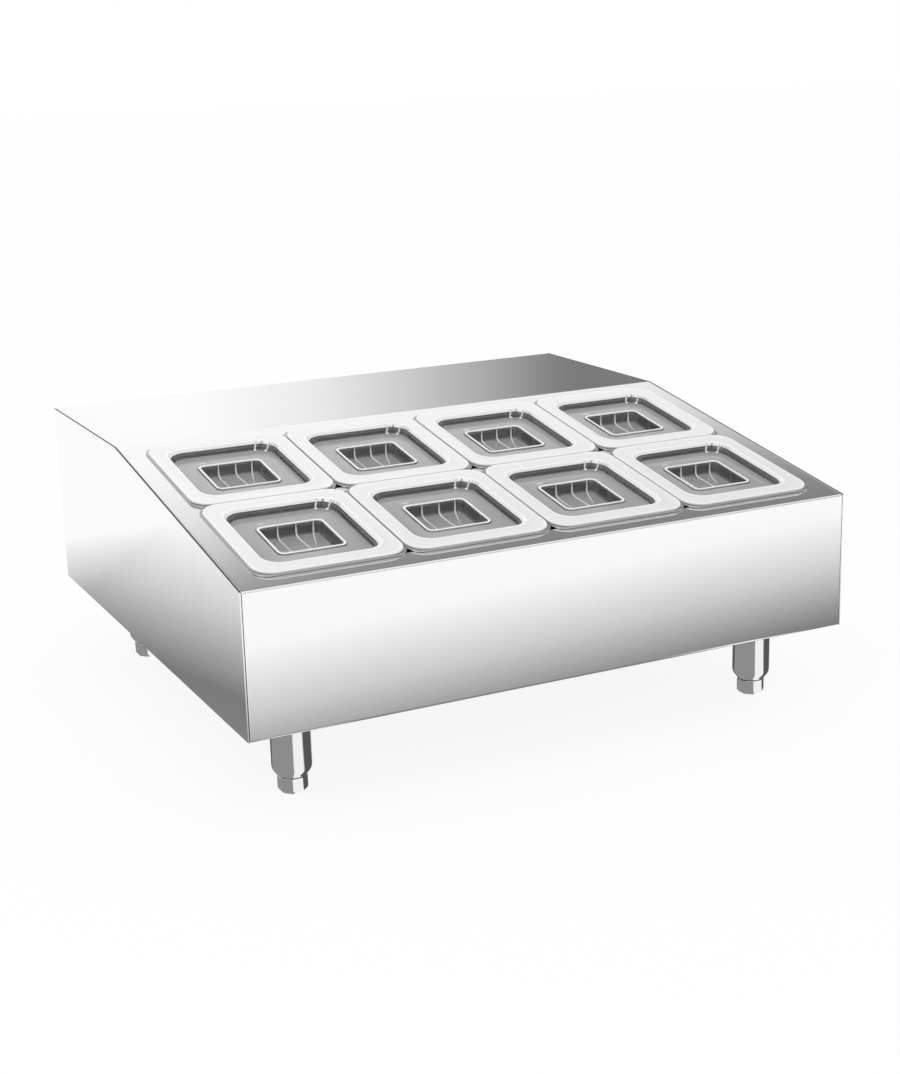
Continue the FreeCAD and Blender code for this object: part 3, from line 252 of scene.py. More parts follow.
def filled(points: np.ndarray, counts: list[int]) -> Faces:
    """Fill the flat space between a convex outline and the convex outlines inside it.

    The triangles are Delaunay's, less those with all three corners on the same inner outline.

    Args:
        points: The points of all outlines in turn, two numbers each.
        counts: How many points each outline has, the outer one first.

    Returns:
        The triangles, by the numbers of the points, all turned the same way.
    """
    owner = np.repeat(np.arange(len(counts)), counts)
    number = np.arange(len(points))
    first = np.repeat(np.cumsum([0, *counts[:-1]]), counts)
    following = first + (number - first + 1) % np.repeat(counts, counts)
    edges = np.stack((number, following), -1).tolist()
    found = delaunay_2d_cdt([Vector(point) for point in points.tolist()], edges, [], 0, 1e-9)
    source = np.array([numbers[0] for numbers in found[3]])
    triangles = source[np.array(found[2])]
    owners = owner[triangles]
    triangles = triangles[(owners[:, 0] == 0) | (owners != owners[:, :1]).any(1)]
    a, b, c = (points[triangles[:, i]] for i in range(3))
    turn = (b[:, 0] - a[:, 0]) * (c[:, 1] - a[:, 1]) - (b[:, 1] - a[:, 1]) * (c[:, 0] - a[:, 0])
    triangles[turn < 0] = triangles[turn < 0][:, ::-1]
    return [tuple(triangle) for triangle in triangles.tolist()]


SCREW_SIDES = 16
SCREW_HEAD_SHARES = ((1.0, 0.0), (1.0, 0.22), (0.86, 0.5), (0.55, 0.66), (0.3, 0.7))
SCREW_RECESS_SHARES = ((0.26, 0.66), (0.24, 0.3))
RECESS_CORNER = 1.5  # radius to a corner of the square recess, over that of its row
RECESS_FLAT = 0.3  # how far its flats come in from that, as a share of it


class Surface:
    """A mesh under construction, gathered as closed shells."""

    def __init__(self) -> None:
        """Start with no shell."""
        self.points: list[np.ndarray] = []
        self.faces: Faces = []
        self.marks: list[np.ndarray] = []
        self.shades: list[int] = []
        self.count = 0

    def shell(self, points: np.ndarray, faces: Faces, mark: np.ndarray | float = 0.0,
              shades: list[int] | None = None) -> None:
        """Add a closed shell, turned outwards.

        The sign of the volume, summed over fans of triangles as a . (b x c) / 6, says which way
        the faces point.

        Args:
            points: Its points.
            faces: Its faces, by the numbers of its points.
            mark: A number kept at each point for the material.
            shades: The finish of each face, counted from the first.
        """
        fans = np.array([(face[0], face[i], face[i + 1]) for face in faces for i in range(1, len(face) - 1)])
        a, b, c = (points[fans[:, i]] - points.mean(0) for i in range(3))
        if np.einsum("ij,ij->", a, np.cross(b, c)) < 0:
            faces = [tuple(reversed(face)) for face in faces]
        self.points.append(points)
        self.marks.append(np.broadcast_to(np.asarray(mark, float), (len(points),)))
        self.faces += [tuple(int(i) + self.count for i in face) for face in faces]
        self.shades += shades or [0] * len(faces)
        self.count += len(points)

    def loft(self, loops: np.ndarray, wrap: bool = False, mark: np.ndarray | float = 0.0,
             dark: np.ndarray | None = None) -> None:
        """Skin a stack of loops with quads, closed by its end loops, or round into a ring.

        Args:
            loops: Array of loops, points and coordinates.
            wrap: Join the last loop to the first.
            mark: A number for each loop.
            dark: For each band and side, true where it takes the second finish, the dark colour painted on
                cut edges as shade in the seams.
        """
        rings, sides = loops.shape[:2]
        ring = np.arange(rings if wrap else rings - 1)[:, None]
        side = np.arange(sides)[None, :]
        following, beyond = (ring + 1) % rings, (side + 1) % sides
        quads = np.stack((ring * sides + side, ring * sides + beyond,
                          following * sides + beyond, following * sides + side), -1)
        faces: Faces = [tuple(quad) for quad in quads.reshape(-1, 4).tolist()]
        if not wrap:
            faces.append(tuple(reversed(range(sides))))
            faces.append(tuple(range((rings - 1) * sides, rings * sides)))
        marks = np.repeat(np.broadcast_to(np.asarray(mark, float), (rings,)), sides)
        shades = [] if dark is None else dark.astype(int).ravel().tolist()
        self.shell(loops.reshape(-1, 3), faces, marks, shades + [0] * (len(faces) - len(shades)))

    def wall(self, outer: np.ndarray, inner: np.ndarray, faces: Faces) -> None:
        """Close the space between an open patch and its inner copy.

        An edge that only one face of the patch uses is part of its rim, and gets a side face, which takes the
        second finish: where a piece has one, its cut edges are painted dark as shade in the seams.

        Args:
            outer: Points of the patch.
            inner: The same points on its other side.
            faces: Faces of the patch.
        """
        count = len(outer)
        edges = {pair for face in faces for pair in zip(face, face[1:] + face[:1])}
        rim = sorted(pair for pair in edges if pair[::-1] not in edges)
        sides: Faces = [(b, a, a + count, b + count) for a, b in rim]
        back: Faces = [tuple(i + count for i in reversed(face)) for face in faces]
        shades = [0] * len(faces) + [1] * len(sides) + [0] * len(back)
        self.shell(np.concatenate((outer, inner)), faces + sides + back, 0.0, shades)

    def screw(self, radius: float, place: np.ndarray, turn: np.ndarray) -> None:
        """Add a pan-head screw with a square recess.

        Args:
            radius: Radius of its head.
            place: Middle of the head's underside.
            turn: Matrix whose columns are the head's own X, Y and outward axes.
        """
        head, recess = np.array(SCREW_HEAD_SHARES) * radius, np.array(SCREW_RECESS_SHARES) * radius
        outside = turned_loops(head[:, 0], head[:, 1], SCREW_SIDES)
        inside = turned_loops(recess[:, 0] * RECESS_CORNER, recess[:, 1], SCREW_SIDES, 4, RECESS_FLAT)
        self.loft(np.concatenate((outside, inside)) @ turn.T + place)

    def object(self, name: str, sharp: float = 32.0) -> bpy.types.Object:
        """Make the mesh and its object, smooth but for edges sharper than an angle.

        Args:
            name: Name of the object.
            sharp: Angle in degrees.

        Returns:
            The new object, at the origin.
        """
        mesh = bpy.data.meshes.new(name)
        mesh.from_pydata(np.concatenate(self.points).tolist(), [], self.faces)
        mesh.update()
        marks = mesh.attributes.new("milk_and_painted_light", "FLOAT", "POINT")
        marks.data.foreach_set("value", np.concatenate(self.marks).astype(np.float32))
        mesh.polygons.foreach_set("use_smooth", np.ones(len(mesh.polygons), bool))
        mesh.polygons.foreach_set("material_index", np.array(self.shades, np.int32))
        mesh.set_sharp_from_angle(angle=math.radians(sharp))
        piece = bpy.data.objects.new(name, mesh)
        bpy.context.scene.collection.objects.link(piece)
        return piece


@dataclass(frozen=True)
class Deck:
    """The sloping deck as a frame of its own: across, up the slope, and out from it."""

    cosine: float = 0.98639
    sine: float = 0.16440
    front: float = -325 * MM
    foot: float = 238 * MM
    length: float = 395.38 * MM

    def lay(self, points: np.ndarray, across: float = 0.0, along: float = 0.0,
            out: float = 0.0) -> np.ndarray:
        """Put points given across, along and out into the casing's frame.

        Args:
            points: The points, about a place on the deck.
            across: That place across the deck.
            along: That place up the slope.
            out: Its height off the deck.

        Returns:
            The points with Y = along cos - out sin + front and Z = along sin + out cos + foot.
        """
        x = points[..., 0] + across
        y = points[..., 1] + along
        z = points[..., 2] + out
        return np.stack((x, y * self.cosine - z * self.sine + self.front,
                         y * self.sine + z * self.cosine + self.foot), -1)

    def flat(self, points: np.ndarray) -> np.ndarray:
        """Across and along of points that lie on the deck."""
        along = (points[:, 1] - self.front) * self.cosine + (points[:, 2] - self.foot) * self.sine
        return np.column_stack((points[:, 0], along))


DECK = Deck()
BACK_TURN = np.array([[-1.0, 0, 0], [0, 0, 1.0], [0, 1.0, 0]])
UNDER_TURN = np.array([[1.0, 0, 0], [0, -1.0, 0], [0, 0, -1.0]])


# Materials

class Grain(Enum):
    """The way in which a metal was brushed, as the fineness of its pattern along X, Y and Z."""

    ACROSS = (7.0, 1100.0, 1100.0)
    DEPTH = (1100.0, 7.0, 1100.0)
    UPRIGHT = (1100.0, 1100.0, 7.0)
    PLAIN = (90.0, 90.0, 90.0)


class Wiring:
    """The nodes of one material or world."""

    def __init__(self, tree: bpy.types.NodeTree) -> None:
        """Empty the tree and take it over."""
        self.tree = tree
        tree.nodes.clear()

    def feed(self, socket: Socket, value: object) -> None:
        """Set or link a socket.

        Args:
            socket: The input.
            value: A value, or another node's output.
        """
        if isinstance(value, Socket):
            self.tree.links.new(value, socket)
        else:
            socket.default_value = value

    def add(self, kind: str, settings: dict[str, object] | None = None,
            **sockets: object) -> Node:
        """Add a node.

        Args:
            kind: Type of the node.
            settings: Properties of the node.
            sockets: Inputs by name, with _ for a space: a value, or another node's output.

        Returns:
            The node.
        """
        node = self.tree.nodes.new(kind)
        for name, value in (settings or {}).items():
            setattr(node, name, value)
        for name, value in sockets.items():
            self.feed(node.inputs[name.replace("_", " ")], value)
        return node

    def numbered(self, kind: str, settings: dict[str, object], *terms: tuple[int, object]) -> Node:
        """Add a node whose inputs go by number.

        Args:
            kind: Type of the node.
            settings: Properties of the node.
            terms: Number and value of each input.

        Returns:
            The node.
        """
        node = self.add(kind, settings)
        for number, value in terms:
            self.feed(node.inputs[number], value)
        return node

    def reckon(self, operation: str, *terms: object) -> Socket:
        """The result of a Math node on these terms."""
        node = self.numbered("ShaderNodeMath", {"operation": operation}, *enumerate(terms))
        return node.outputs[0]

    def blend(self, share: object, first: object, second: object) -> Socket:
        """The mixture of two colours."""
        node = self.numbered("ShaderNodeMix", {"data_type": "RGBA"}, (0, share), (6, first), (7, second))
        return node.outputs[2]

    def choose(self, share: object, first: Node, second: Node) -> Node:
        """The mixture of two shaders."""
        inputs = (share, first.outputs[0], second.outputs[0])
        return self.numbered("ShaderNodeMixShader", {}, *enumerate(inputs))

    def place(self) -> Socket:
        """Object coordinates."""
        return self.add("ShaderNodeTexCoord").outputs["Object"]

    def noise(self, place: object, scale: float, detail: float, roughness: float = 0.5) -> Socket:
        """A noise between 0 and 1."""
        node = self.add("ShaderNodeTexNoise", Vector=place, Scale=scale, Detail=detail, Roughness=roughness)
        return node.outputs["Fac"]

    def spread(self, noise: object, low: float, high: float) -> Socket:
        """The middle of a noise, from 0.3 to 0.7, stretched between two numbers."""
        node = self.add("ShaderNodeMapRange", Value=noise, From_Min=0.3, From_Max=0.7,
                        To_Min=low, To_Max=high)
        return node.outputs["Result"]

    def bump(self, height: object, strength: float, distance: float) -> Socket:
        """A normal tilted by a height."""
        return self.add("ShaderNodeBump", Height=height, Strength=strength, Distance=distance).outputs[0]

    def surface(self, **sockets: object) -> None:
        """Add a Principled shader with these inputs, and the material's output."""
        shader = self.add("ShaderNodeBsdfPrincipled", **sockets)
        self.add("ShaderNodeOutputMaterial", Surface=shader.outputs[0])

    def ramp(self, value: object, stops: Stops, low: float, high: float) -> Socket:
        """Turn a number into a tone through a line of stops.

        Args:
            value: The number.
            stops: Numbers, each with its tone.
            low: Number at the start of the ramp.
            high: Number at its end.

        Returns:
            The tone.
        """
        scaled = self.add("ShaderNodeMapRange", Value=value, From_Min=low, From_Max=high).outputs["Result"]
        node = self.add("ShaderNodeValToRGB", Fac=scaled)
        node.color_ramp.interpolation = "EASE" if len(stops) == 2 else "LINEAR"
        elements = node.color_ramp.elements
        while len(elements) < len(stops):
            elements.new(0.5)
        for element, (number, tone) in zip(elements, stops):
            element.position = (number - low) / (high - low)
            element.color = (tone, tone, tone, 1.0)
        return node.outputs["Color"]


def fresh(name: str) -> tuple[bpy.types.Material, Wiring]:
    """Start a material.

    Args:
        name: Its name.

    Returns:
        The material and its empty tree.
    """
    material = bpy.data.materials.new(name)
    material.use_nodes = True
    return material, Wiring(material.node_tree)


def toned(colour: Colour, share: float = 1.0) -> tuple[float, ...]:
    """A share of a colour, with its alpha."""
    return (*(channel * share for channel in colour), 1.0)


@dataclass(frozen=True)
class Metal:
    """A bare metal: colour, polish and the grain of its brushing."""

    name: str
    colour: Colour
    roughness: float
    wander: float = 0.03
    grain: Grain = Grain.ACROSS
    relief: float = 0.05
    mottle: float = 0.02

    def material(self) -> bpy.types.Material:
        """Build the material: streaked noise drives roughness and bump, cloudy noise the colour."""
        material, wiring = fresh(self.name)
        place = wiring.place()
        mapped = wiring.add("ShaderNodeMapping", Vector=place, Scale=self.grain.value).outputs["Vector"]
        streaks = wiring.noise(mapped, 1.0, 3.0, 0.55)
        dark = toned(self.colour, 1 - self.mottle)
        low, high = self.roughness - self.wander, self.roughness + self.wander
        wiring.surface(Base_Color=wiring.blend(wiring.noise(place, 9.0, 2.0), dark, toned(self.colour)),
                       Roughness=wiring.spread(streaks, low, high),
                       Normal=wiring.bump(streaks, self.relief, 0.0001), Metallic=1.0)
        return material


@dataclass(frozen=True)
class Galvanised:
    """Zinc-coated sheet with its spangle."""

    name: str = "galvanised_spangle"
    colour: Colour = (0.62, 0.64, 0.66)
    size: float = 90.0
    contrast: float = 0.86
    roughness: tuple[float, float] = (0.32, 0.5)

    def material(self) -> bpy.types.Material:
        """Build the material: cells of a Voronoi pattern shift tone and roughness."""
        material, wiring = fresh(self.name)
        cells = wiring.add("ShaderNodeTexVoronoi", Vector=wiring.place(), Scale=self.size)
        tone = wiring.add("ShaderNodeSeparateColor", Color=cells.outputs["Color"]).outputs[0]
        low, high = self.roughness
        rough = wiring.add("ShaderNodeMapRange", Value=tone, To_Min=low, To_Max=high)
        wiring.surface(Base_Color=wiring.blend(tone, toned(self.colour, self.contrast), toned(self.colour)),
                       Roughness=rough.outputs["Result"], Metallic=1.0)
        return material


@dataclass(frozen=True)
class Moulded:
    """A moulded, foamed or painted surface: colour, polish and the texture of its skin."""

    name: str
    colour: Colour
    roughness: float
    texture: float = 900.0
    relief: float = 0.12
    depth: float = 0.0002
    wear: float = 0.12

    def material(self) -> bpy.types.Material:
        """Build the material: fine noise gives the skin, slow noise shifts colour and polish."""
        material, wiring = fresh(self.name)
        place = wiring.place()
        slow = wiring.noise(place, 25.0, 3.0, 0.6)
        skin = wiring.noise(place, self.texture, 2.0, 0.6)
        wiring.surface(Base_Color=wiring.blend(slow, toned(self.colour, 1 - self.wear), toned(self.colour)),
                       Roughness=wiring.spread(slow, self.roughness * 0.9, min(1.0, self.roughness * 1.12)),
                       Normal=wiring.bump(skin, self.relief, self.depth))
        return material


@dataclass(frozen=True)
class ClearPlastic:
    """Clear moulded lid stock: white where its mark is high, at the rims and as painted highlights, and smoke
    grey where it is low, as painted shade.
    """

    name: str = "clear_lid_stock"
    colour: Colour = (0.97, 0.97, 0.97)
    painted_shade_grey: Colour = (0.5, 0.5, 0.5)
    roughness: float = 0.05
    index: float = 1.5

    def material(self) -> bpy.types.Material:
        """Build the material: the mark kept at each point says how white it is there, at the rims and the
        bead, and as painted highlights on the ribs, posts and lugs.

        Where the mark is under a quarter, the colour turns towards smoke grey, as painted shade on the walls
        of the well and the grip and beside the bead.
        """
        material, wiring = fresh(self.name)
        milk_and_painted_light = wiring.add("ShaderNodeAttribute", {"attribute_name": "milk_and_painted_light"}).outputs["Fac"]
        # a low mark draws the colour towards smoke grey: painted shade
        clearness = wiring.reckon("MINIMUM", wiring.reckon("MULTIPLY", milk_and_painted_light, 4.0), 1.0)
        wiring.surface(Base_Color=wiring.blend(clearness, toned(self.painted_shade_grey), toned(self.colour)),
                       IOR=self.index, Roughness=self.roughness,
                       Transmission_Weight=wiring.reckon("SUBTRACT", 1.0, milk_and_painted_light),
                       Normal=wiring.bump(wiring.noise(wiring.place(), 60.0, 1.0), 0.05, 0.0006))
        return material


CASING_STEEL = Metal("brushed_casing_steel", (0.96, 0.96, 0.96), 0.09, wander=0.02)
SIDE_STEEL = Metal("brushed_side_steel", (0.96, 0.96, 0.96), 0.09, wander=0.02, grain=Grain.DEPTH)
# painted shade: a dark colour on the sheets' cut edges, so that the seams between them read dark
PAINTED_SEAM_SHADE = Metal("painted_seam_shade", (0.16, 0.16, 0.16), 0.4, grain=Grain.PLAIN)
PAN_STEEL = Metal("satin_pan_steel", (0.6, 0.6, 0.6), 0.2, wander=0.05, grain=Grain.UPRIGHT)
WELL_STEEL = Metal("plain_tank_steel", (0.6, 0.6, 0.6), 0.28, grain=Grain.ACROSS)
CHROME = Metal("polished_leg_chrome", (0.88, 0.88, 0.88), 0.05, wander=0.01, grain=Grain.UPRIGHT,
               relief=0.01)
ALUMINIUM = Metal("rolled_aluminium", (0.82, 0.83, 0.84), 0.3, grain=Grain.ACROSS)
COPPER = Metal("drawn_copper", (0.86, 0.5, 0.36), 0.24, grain=Grain.PLAIN, mottle=0.25)
GALVANISED = Galvanised()
LID_STOCK = ClearPlastic()
FOAM = Moulded("poured_foam", (0.82, 0.74, 0.52), 0.85, texture=260.0, relief=0.5, depth=0.001)
PAINT = Moulded("compressor_enamel", (0.02, 0.02, 0.022), 0.28, texture=150.0, relief=0.06)
RUBBER = Moulded("grommet_rubber", (0.03, 0.03, 0.03), 0.75)
BLACK = Moulded("textured_black_plastic", (0.028, 0.028, 0.03), 0.42, texture=1500.0, relief=0.25)
WHITE_MARK = Moulded("white_marking", (0.85, 0.85, 0.84), 0.5)


class Palette:
    """Each finish made once and shared by the pieces that have it."""

    def __init__(self) -> None:
        """Start with no material."""
        self.made: dict[str, bpy.types.Material] = {}

    def of(self, finish: Metal | Galvanised | Moulded | ClearPlastic) -> bpy.types.Material:
        """The material of a finish.

        Args:
            finish: The finish.

        Returns:
            Its material.
        """
        if finish.name not in self.made:
            self.made[finish.name] = finish.material()
        return self.made[finish.name]


@dataclass
class Assembly:
    """What every sub-assembly shares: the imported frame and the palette."""

    frame: dict
    palette: Palette

    def fit(self, piece: bpy.types.Object, finish: object, slot: str, body: str, *nodes: str,
            edge: object = None) -> bpy.types.Object:
        """Dress a new piece and fix it to the model.

        Args:
            piece: The object.
            finish: Its finish.
            slot: The record's slot for it; not used.
            body: The body that it rides on.
            nodes: The nodes that it stands for.
            edge: A second finish, for the faces that ask for it: the dark colour painted on cut sheet edges
                as shade in the seams.

        Returns:
            The same object.
        """
        for each in (finish, edge):
            if each:
                piece.data.materials.append(self.palette.of(each))
        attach(piece, body)
        if nodes:
            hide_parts(*nodes)
        LOG.info("%s rides on %s", piece.name, body)
        return piece

    def dress(self, node: str, finish: object) -> None:
        """Give a node that stays its material.

        Args:
            node: The node.
            finish: Its finish.
        """
        mesh = self.frame["nodes"][node].data
        mesh.materials.clear()
        mesh.materials.append(self.palette.of(finish))
        LOG.info("%s keeps its solid", node)


@dataclass
class Casing(Assembly):
    """The sheet-metal casing: cover, side panels, rear panel and their screws."""

    half_width: float = 350 * MM
    plate_half: float = 348.2 * MM
    cover_half: float = 347.9 * MM
    side_sheet: float = 1.5 * MM
    cover_sheet: float = 1.2 * MM
    plate_ease: tuple[float, ...] = (0.0, 0.15, 0.55)
    return_insets: tuple[float, ...] = (1.5 * MM, 1.5 * MM, 19.2 * MM, 2.7 * MM)
    return_gap: float = 0.05 * MM
    return_depth: float = 14 * MM
    low: float = 88 * MM
    high: float = 303 * MM
    knee: float = 65 * MM
    rise: float = 65 * MM
    run: float = 390 * MM
    opening: tuple[float, float, float] = (638.5 * MM, 341.5 * MM, 9 * MM)
    rear_face: float = 307 * MM
    fold: Rows = ((-309, 88, 0), (-325, 88, 2.2), (-325, 238, 2.2), (65, 303, 3.0), (325, 303, 2.2),
                  (325, 286, 0))
    end_ease: Rows = ((0.0, 0.5), (0.08, 0.25), (0.3, 0.08), (0.6, 0.0), (1.6, 0.0))
    panel_low: float = 90.7 * MM
    panel_high: float = 301.5 * MM
    louvre_columns: tuple[float, float] = (112 * MM, 228 * MM)
    louvre_low: float = 120.4 * MM
    louvre_pitch: float = 17 * MM
    louvre_rows: int = 9
    slot: tuple[float, float, float] = (96 * MM, 5 * MM, 2.4 * MM)
    hood_half: float = 50 * MM
    hood_rise: float = 5.5 * MM
    hood_foot: float = 2.6 * MM
    hood_sheet: float = 0.8 * MM
    hood_least: float = 0.05 * MM
    hood_sink: float = 0.2 * MM
    hood_end_share: float = 0.02
    holes: Rows = (
        (-200, 246, 7, 7, 3.49), (-262, 246, 22.6, 30.6, 1), (-310, 136, 15.6, 15.6, 7.79),
    )
    rear_screws: tuple[tuple[float, float], ...] = (
        (-330, 98), (-330, 294), (-165, 98), (-165, 294), (0, 98), (0, 294), (335, 98), (320, 294),
    )
    rear_screw_radius: float = 3.6 * MM
    rear_screw_sink: float = 0.1 * MM
    front_screws: tuple[float, ...] = (-270, -90, 90, 270)
    front_screw_radius: float = 3.4 * MM
    front_screw_y: float = -317 * MM
    front_screw_z: float = 88.1 * MM

    def outline(self, front: float, top: float, rear: float, bottom: float) -> np.ndarray:
        """The casing's side view as Y and Z, with each side moved in by its own amount.

        Args:
            front: How far the front moves in.
            top: How far the deck and the shelf move in.
            rear: How far the rear moves in.
            bottom: How far the bottom moves in.

        Returns:
            Its five corners.
        """
        cosine = self.run / DECK.length
        front_y, rear_y = front + DECK.front, -DECK.front - rear
        front_z = DECK.foot + front * self.rise / self.run - top / cosine
        knee_y = self.knee + (top / cosine - top) * self.run / self.rise
        return np.array([(front_y, self.low + bottom), (rear_y, self.low + bottom), (rear_y, self.high - top),
                         (knee_y, self.high - top), (front_y, front_z)])

    def cover(self) -> None:
        """One folded sheet, laid out flat and bent.

        The bent profile P(s) gives Y and Z, and its normal N(s) the outside. A point of the flat
        sheet at x and s lies at P(s) - d N(s), where d is zero, or the sheet's thickness inside,
        and near both ends x the outside falls away in a small quarter round.
        """
        path = eased(self.fold, 6)
        step = np.gradient(path, axis=0)
        normal = np.stack((-step[:, 1], step[:, 0]), -1)
        normal /= np.linalg.norm(normal, axis=1)[:, None]
        middle = path.mean(0)
        normal *= np.sign(((path - middle) * normal).sum(1).mean())
        inset, drop = np.array(self.end_ease).T * MM
        xs = np.concatenate((inset - self.cover_half, (self.cover_half - inset)[::-1]))
        drops = np.concatenate((drop, drop[::-1]))
        rows, columns = len(path), len(xs)
        x = np.broadcast_to(xs, (rows, columns))

        def bent(depth: np.ndarray) -> np.ndarray:
            """The sheet's points at a depth under its outside."""
            yz = path[:, None] - normal[:, None] * depth[None, :, None]
            return np.concatenate((x[..., None], yz), -1).reshape(-1, 3)

        outer, inner = bent(drops), bent(np.full(columns, self.cover_sheet))
        hole = rounded_outline(*self.opening, 7)
        hole_out = DECK.lay(hole, 0.0, DECK.length / 2)
        hole_in = DECK.lay(hole, 0.0, DECK.length / 2, -self.cover_sheet)
        spans = np.linalg.norm(np.diff(path, axis=0), axis=1)
        deck_row = int(np.argmax(spans))
        centre = columns // 2 - 1
        quads = grid_faces(rows, columns)
        cell = deck_row * (columns - 1) + centre
        rim = quads[cell].tolist()
        faces: Faces = [tuple(quad) for quad in np.delete(quads, cell, 0).tolist()]
        numbers = rim + list(range(rows * columns, rows * columns + len(hole)))
        patch = DECK.flat(np.concatenate((outer[rim], hole_out)))
        faces += [tuple(numbers[i] for i in face) for face in filled(patch, [len(rim), len(hole)])]
        surface = Surface()
        surface.wall(np.concatenate((outer, hole_out)), np.concatenate((inner, hole_in)), faces)
        piece = surface.object("folded_cover", 35.0)
        self.fit(piece, CASING_STEEL, "casing_stainless", "casing", "deck_and_front_cover", edge=PAINTED_SEAM_SHADE)

    def side(self, sign: int) -> None:
        """A side panel: a plate with eased edges and a return folded in all round.

        Args:
            sign: -1 for the left one, 1 for the right one.
        """
        name = "left" if sign < 0 else "right"
        surface = Surface()
        ease = np.array(self.plate_ease) * MM
        depth = ease[::-1]
        insets = np.concatenate((depth, ease))
        x = np.concatenate((self.half_width - ease, self.half_width - self.side_sheet + depth))
        loops = []
        for inset, place in zip(insets, x):
            ring = self.outline(inset, inset, inset, inset)
            loops.append(np.column_stack((np.full(5, place * sign), ring)))
        dark = np.zeros((5, 5), bool)
        dark[:, 1:4] = True  # the rear, shelf and deck edges show the cut sheet, painted dark as shade in the seams
        surface.loft(np.array(loops), dark=dark)
        outer = self.outline(*self.return_insets)
        inner = self.outline(*(inset + self.side_sheet for inset in self.return_insets))
        near = self.half_width - self.side_sheet - self.return_gap
        far = self.half_width - self.return_depth
        ring = [np.column_stack((np.full(5, place * sign), edge))
                for edge, place in ((outer, near), (outer, far), (inner, far), (inner, near))]
        surface.loft(np.array(ring), wrap=True)
        piece = surface.object(f"{name}_side", 20.0)
        self.fit(piece, SIDE_STEEL, "casing_stainless", "casing", f"{name}_side_panel", edge=PAINTED_SEAM_SHADE)

    def rear(self) -> None:
        """The rear panel: a plate with slots, a pressed hood over each slot, and its screws.

        A hood is the quarter round out = h sin v, up = h cos v over the slot, where h falls off
        at both ends as (1 - u^8)^(1/2), to a small height.
        """
        surface = Surface()
        left, right = -self.plate_half, self.plate_half
        loops = [np.array([(left, self.panel_low), (right, self.panel_low), (right, self.panel_high),
                           (left, self.panel_high)])]

        def ring(x: float, z: float, width: float, height: float, corner: float) -> np.ndarray:
            """A rounded outline on the panel."""
            return rounded_outline(width, height, corner, 5)[:, :2] + (x, z)

        rows = [self.louvre_low + self.louvre_pitch * row for row in range(self.louvre_rows)]
        loops += [ring(x, z, *self.slot) for x in self.louvre_columns for z in rows]
        loops += [ring(*(size * MM for size in hole)) for hole in self.holes]
        points = np.concatenate(loops)
        faces = filled(points, [len(loop) for loop in loops])
        outer = np.column_stack((points[:, 0], np.full(len(points), self.rear_face), points[:, 1]))
        inner = outer - np.array([0, self.cover_sheet, 0])
        surface.wall(outer, inner, faces)
        u = np.linspace(-1, 1, 25)
        v = np.linspace(0, math.pi / 2, 6)
        rise = self.hood_rise * np.sqrt(np.clip(1 - u ** 8, self.hood_end_share, 1))
        grid: Faces = [tuple(quad) for quad in grid_faces(len(u), len(v)).tolist()]
        for x in self.louvre_columns:
            for z in rows:
                skins = []
                for thin in (0.0, self.hood_sheet):
                    reach = np.maximum(rise - thin, self.hood_least)[:, None]
                    out = self.rear_face - self.hood_sink + reach * np.sin(v)
                    up = z - self.hood_foot + reach * np.cos(v)
                    wide = np.broadcast_to(x + u[:, None] * (self.hood_half - thin), out.shape)
                    skins.append(np.stack((wide, out, up), -1).reshape(-1, 3))
                surface.wall(skins[0], skins[1], grid)
        for x, z in self.rear_screws:
            place = np.array([x * MM, self.rear_face - self.rear_screw_sink, z * MM])
            surface.screw(self.rear_screw_radius, place, BACK_TURN)
        piece = surface.object("louvred_rear", 30.0)
        self.fit(piece, CASING_STEEL, "casing_stainless", "casing", "rear_panel", edge=PAINTED_SEAM_SHADE)

    def build(self) -> None:
        """Build the casing."""
        self.cover()
        for sign in (-1, 1):
            self.side(sign)
        self.rear()
        surface = Surface()
        for x in self.front_screws:
            place = np.array([x * MM, self.front_screw_y, self.front_screw_z])
            surface.screw(self.front_screw_radius, place, UNDER_TURN)
        self.fit(surface.object("cover_screws"), CASING_STEEL, "casing_stainless", "casing")
        for node in ("base_panel", "bulkhead"):
            self.dress(node, GALVANISED)
        for node in ("pan_crossbar", "left_bar_bracket", "right_bar_bracket"):
            self.dress(node, CASING_STEEL)
        self.dress("well_liner", WELL_STEEL)
        self.dress("foam_insulation", FOAM)
        self.dress("evaporator_plate", ALUMINIUM)


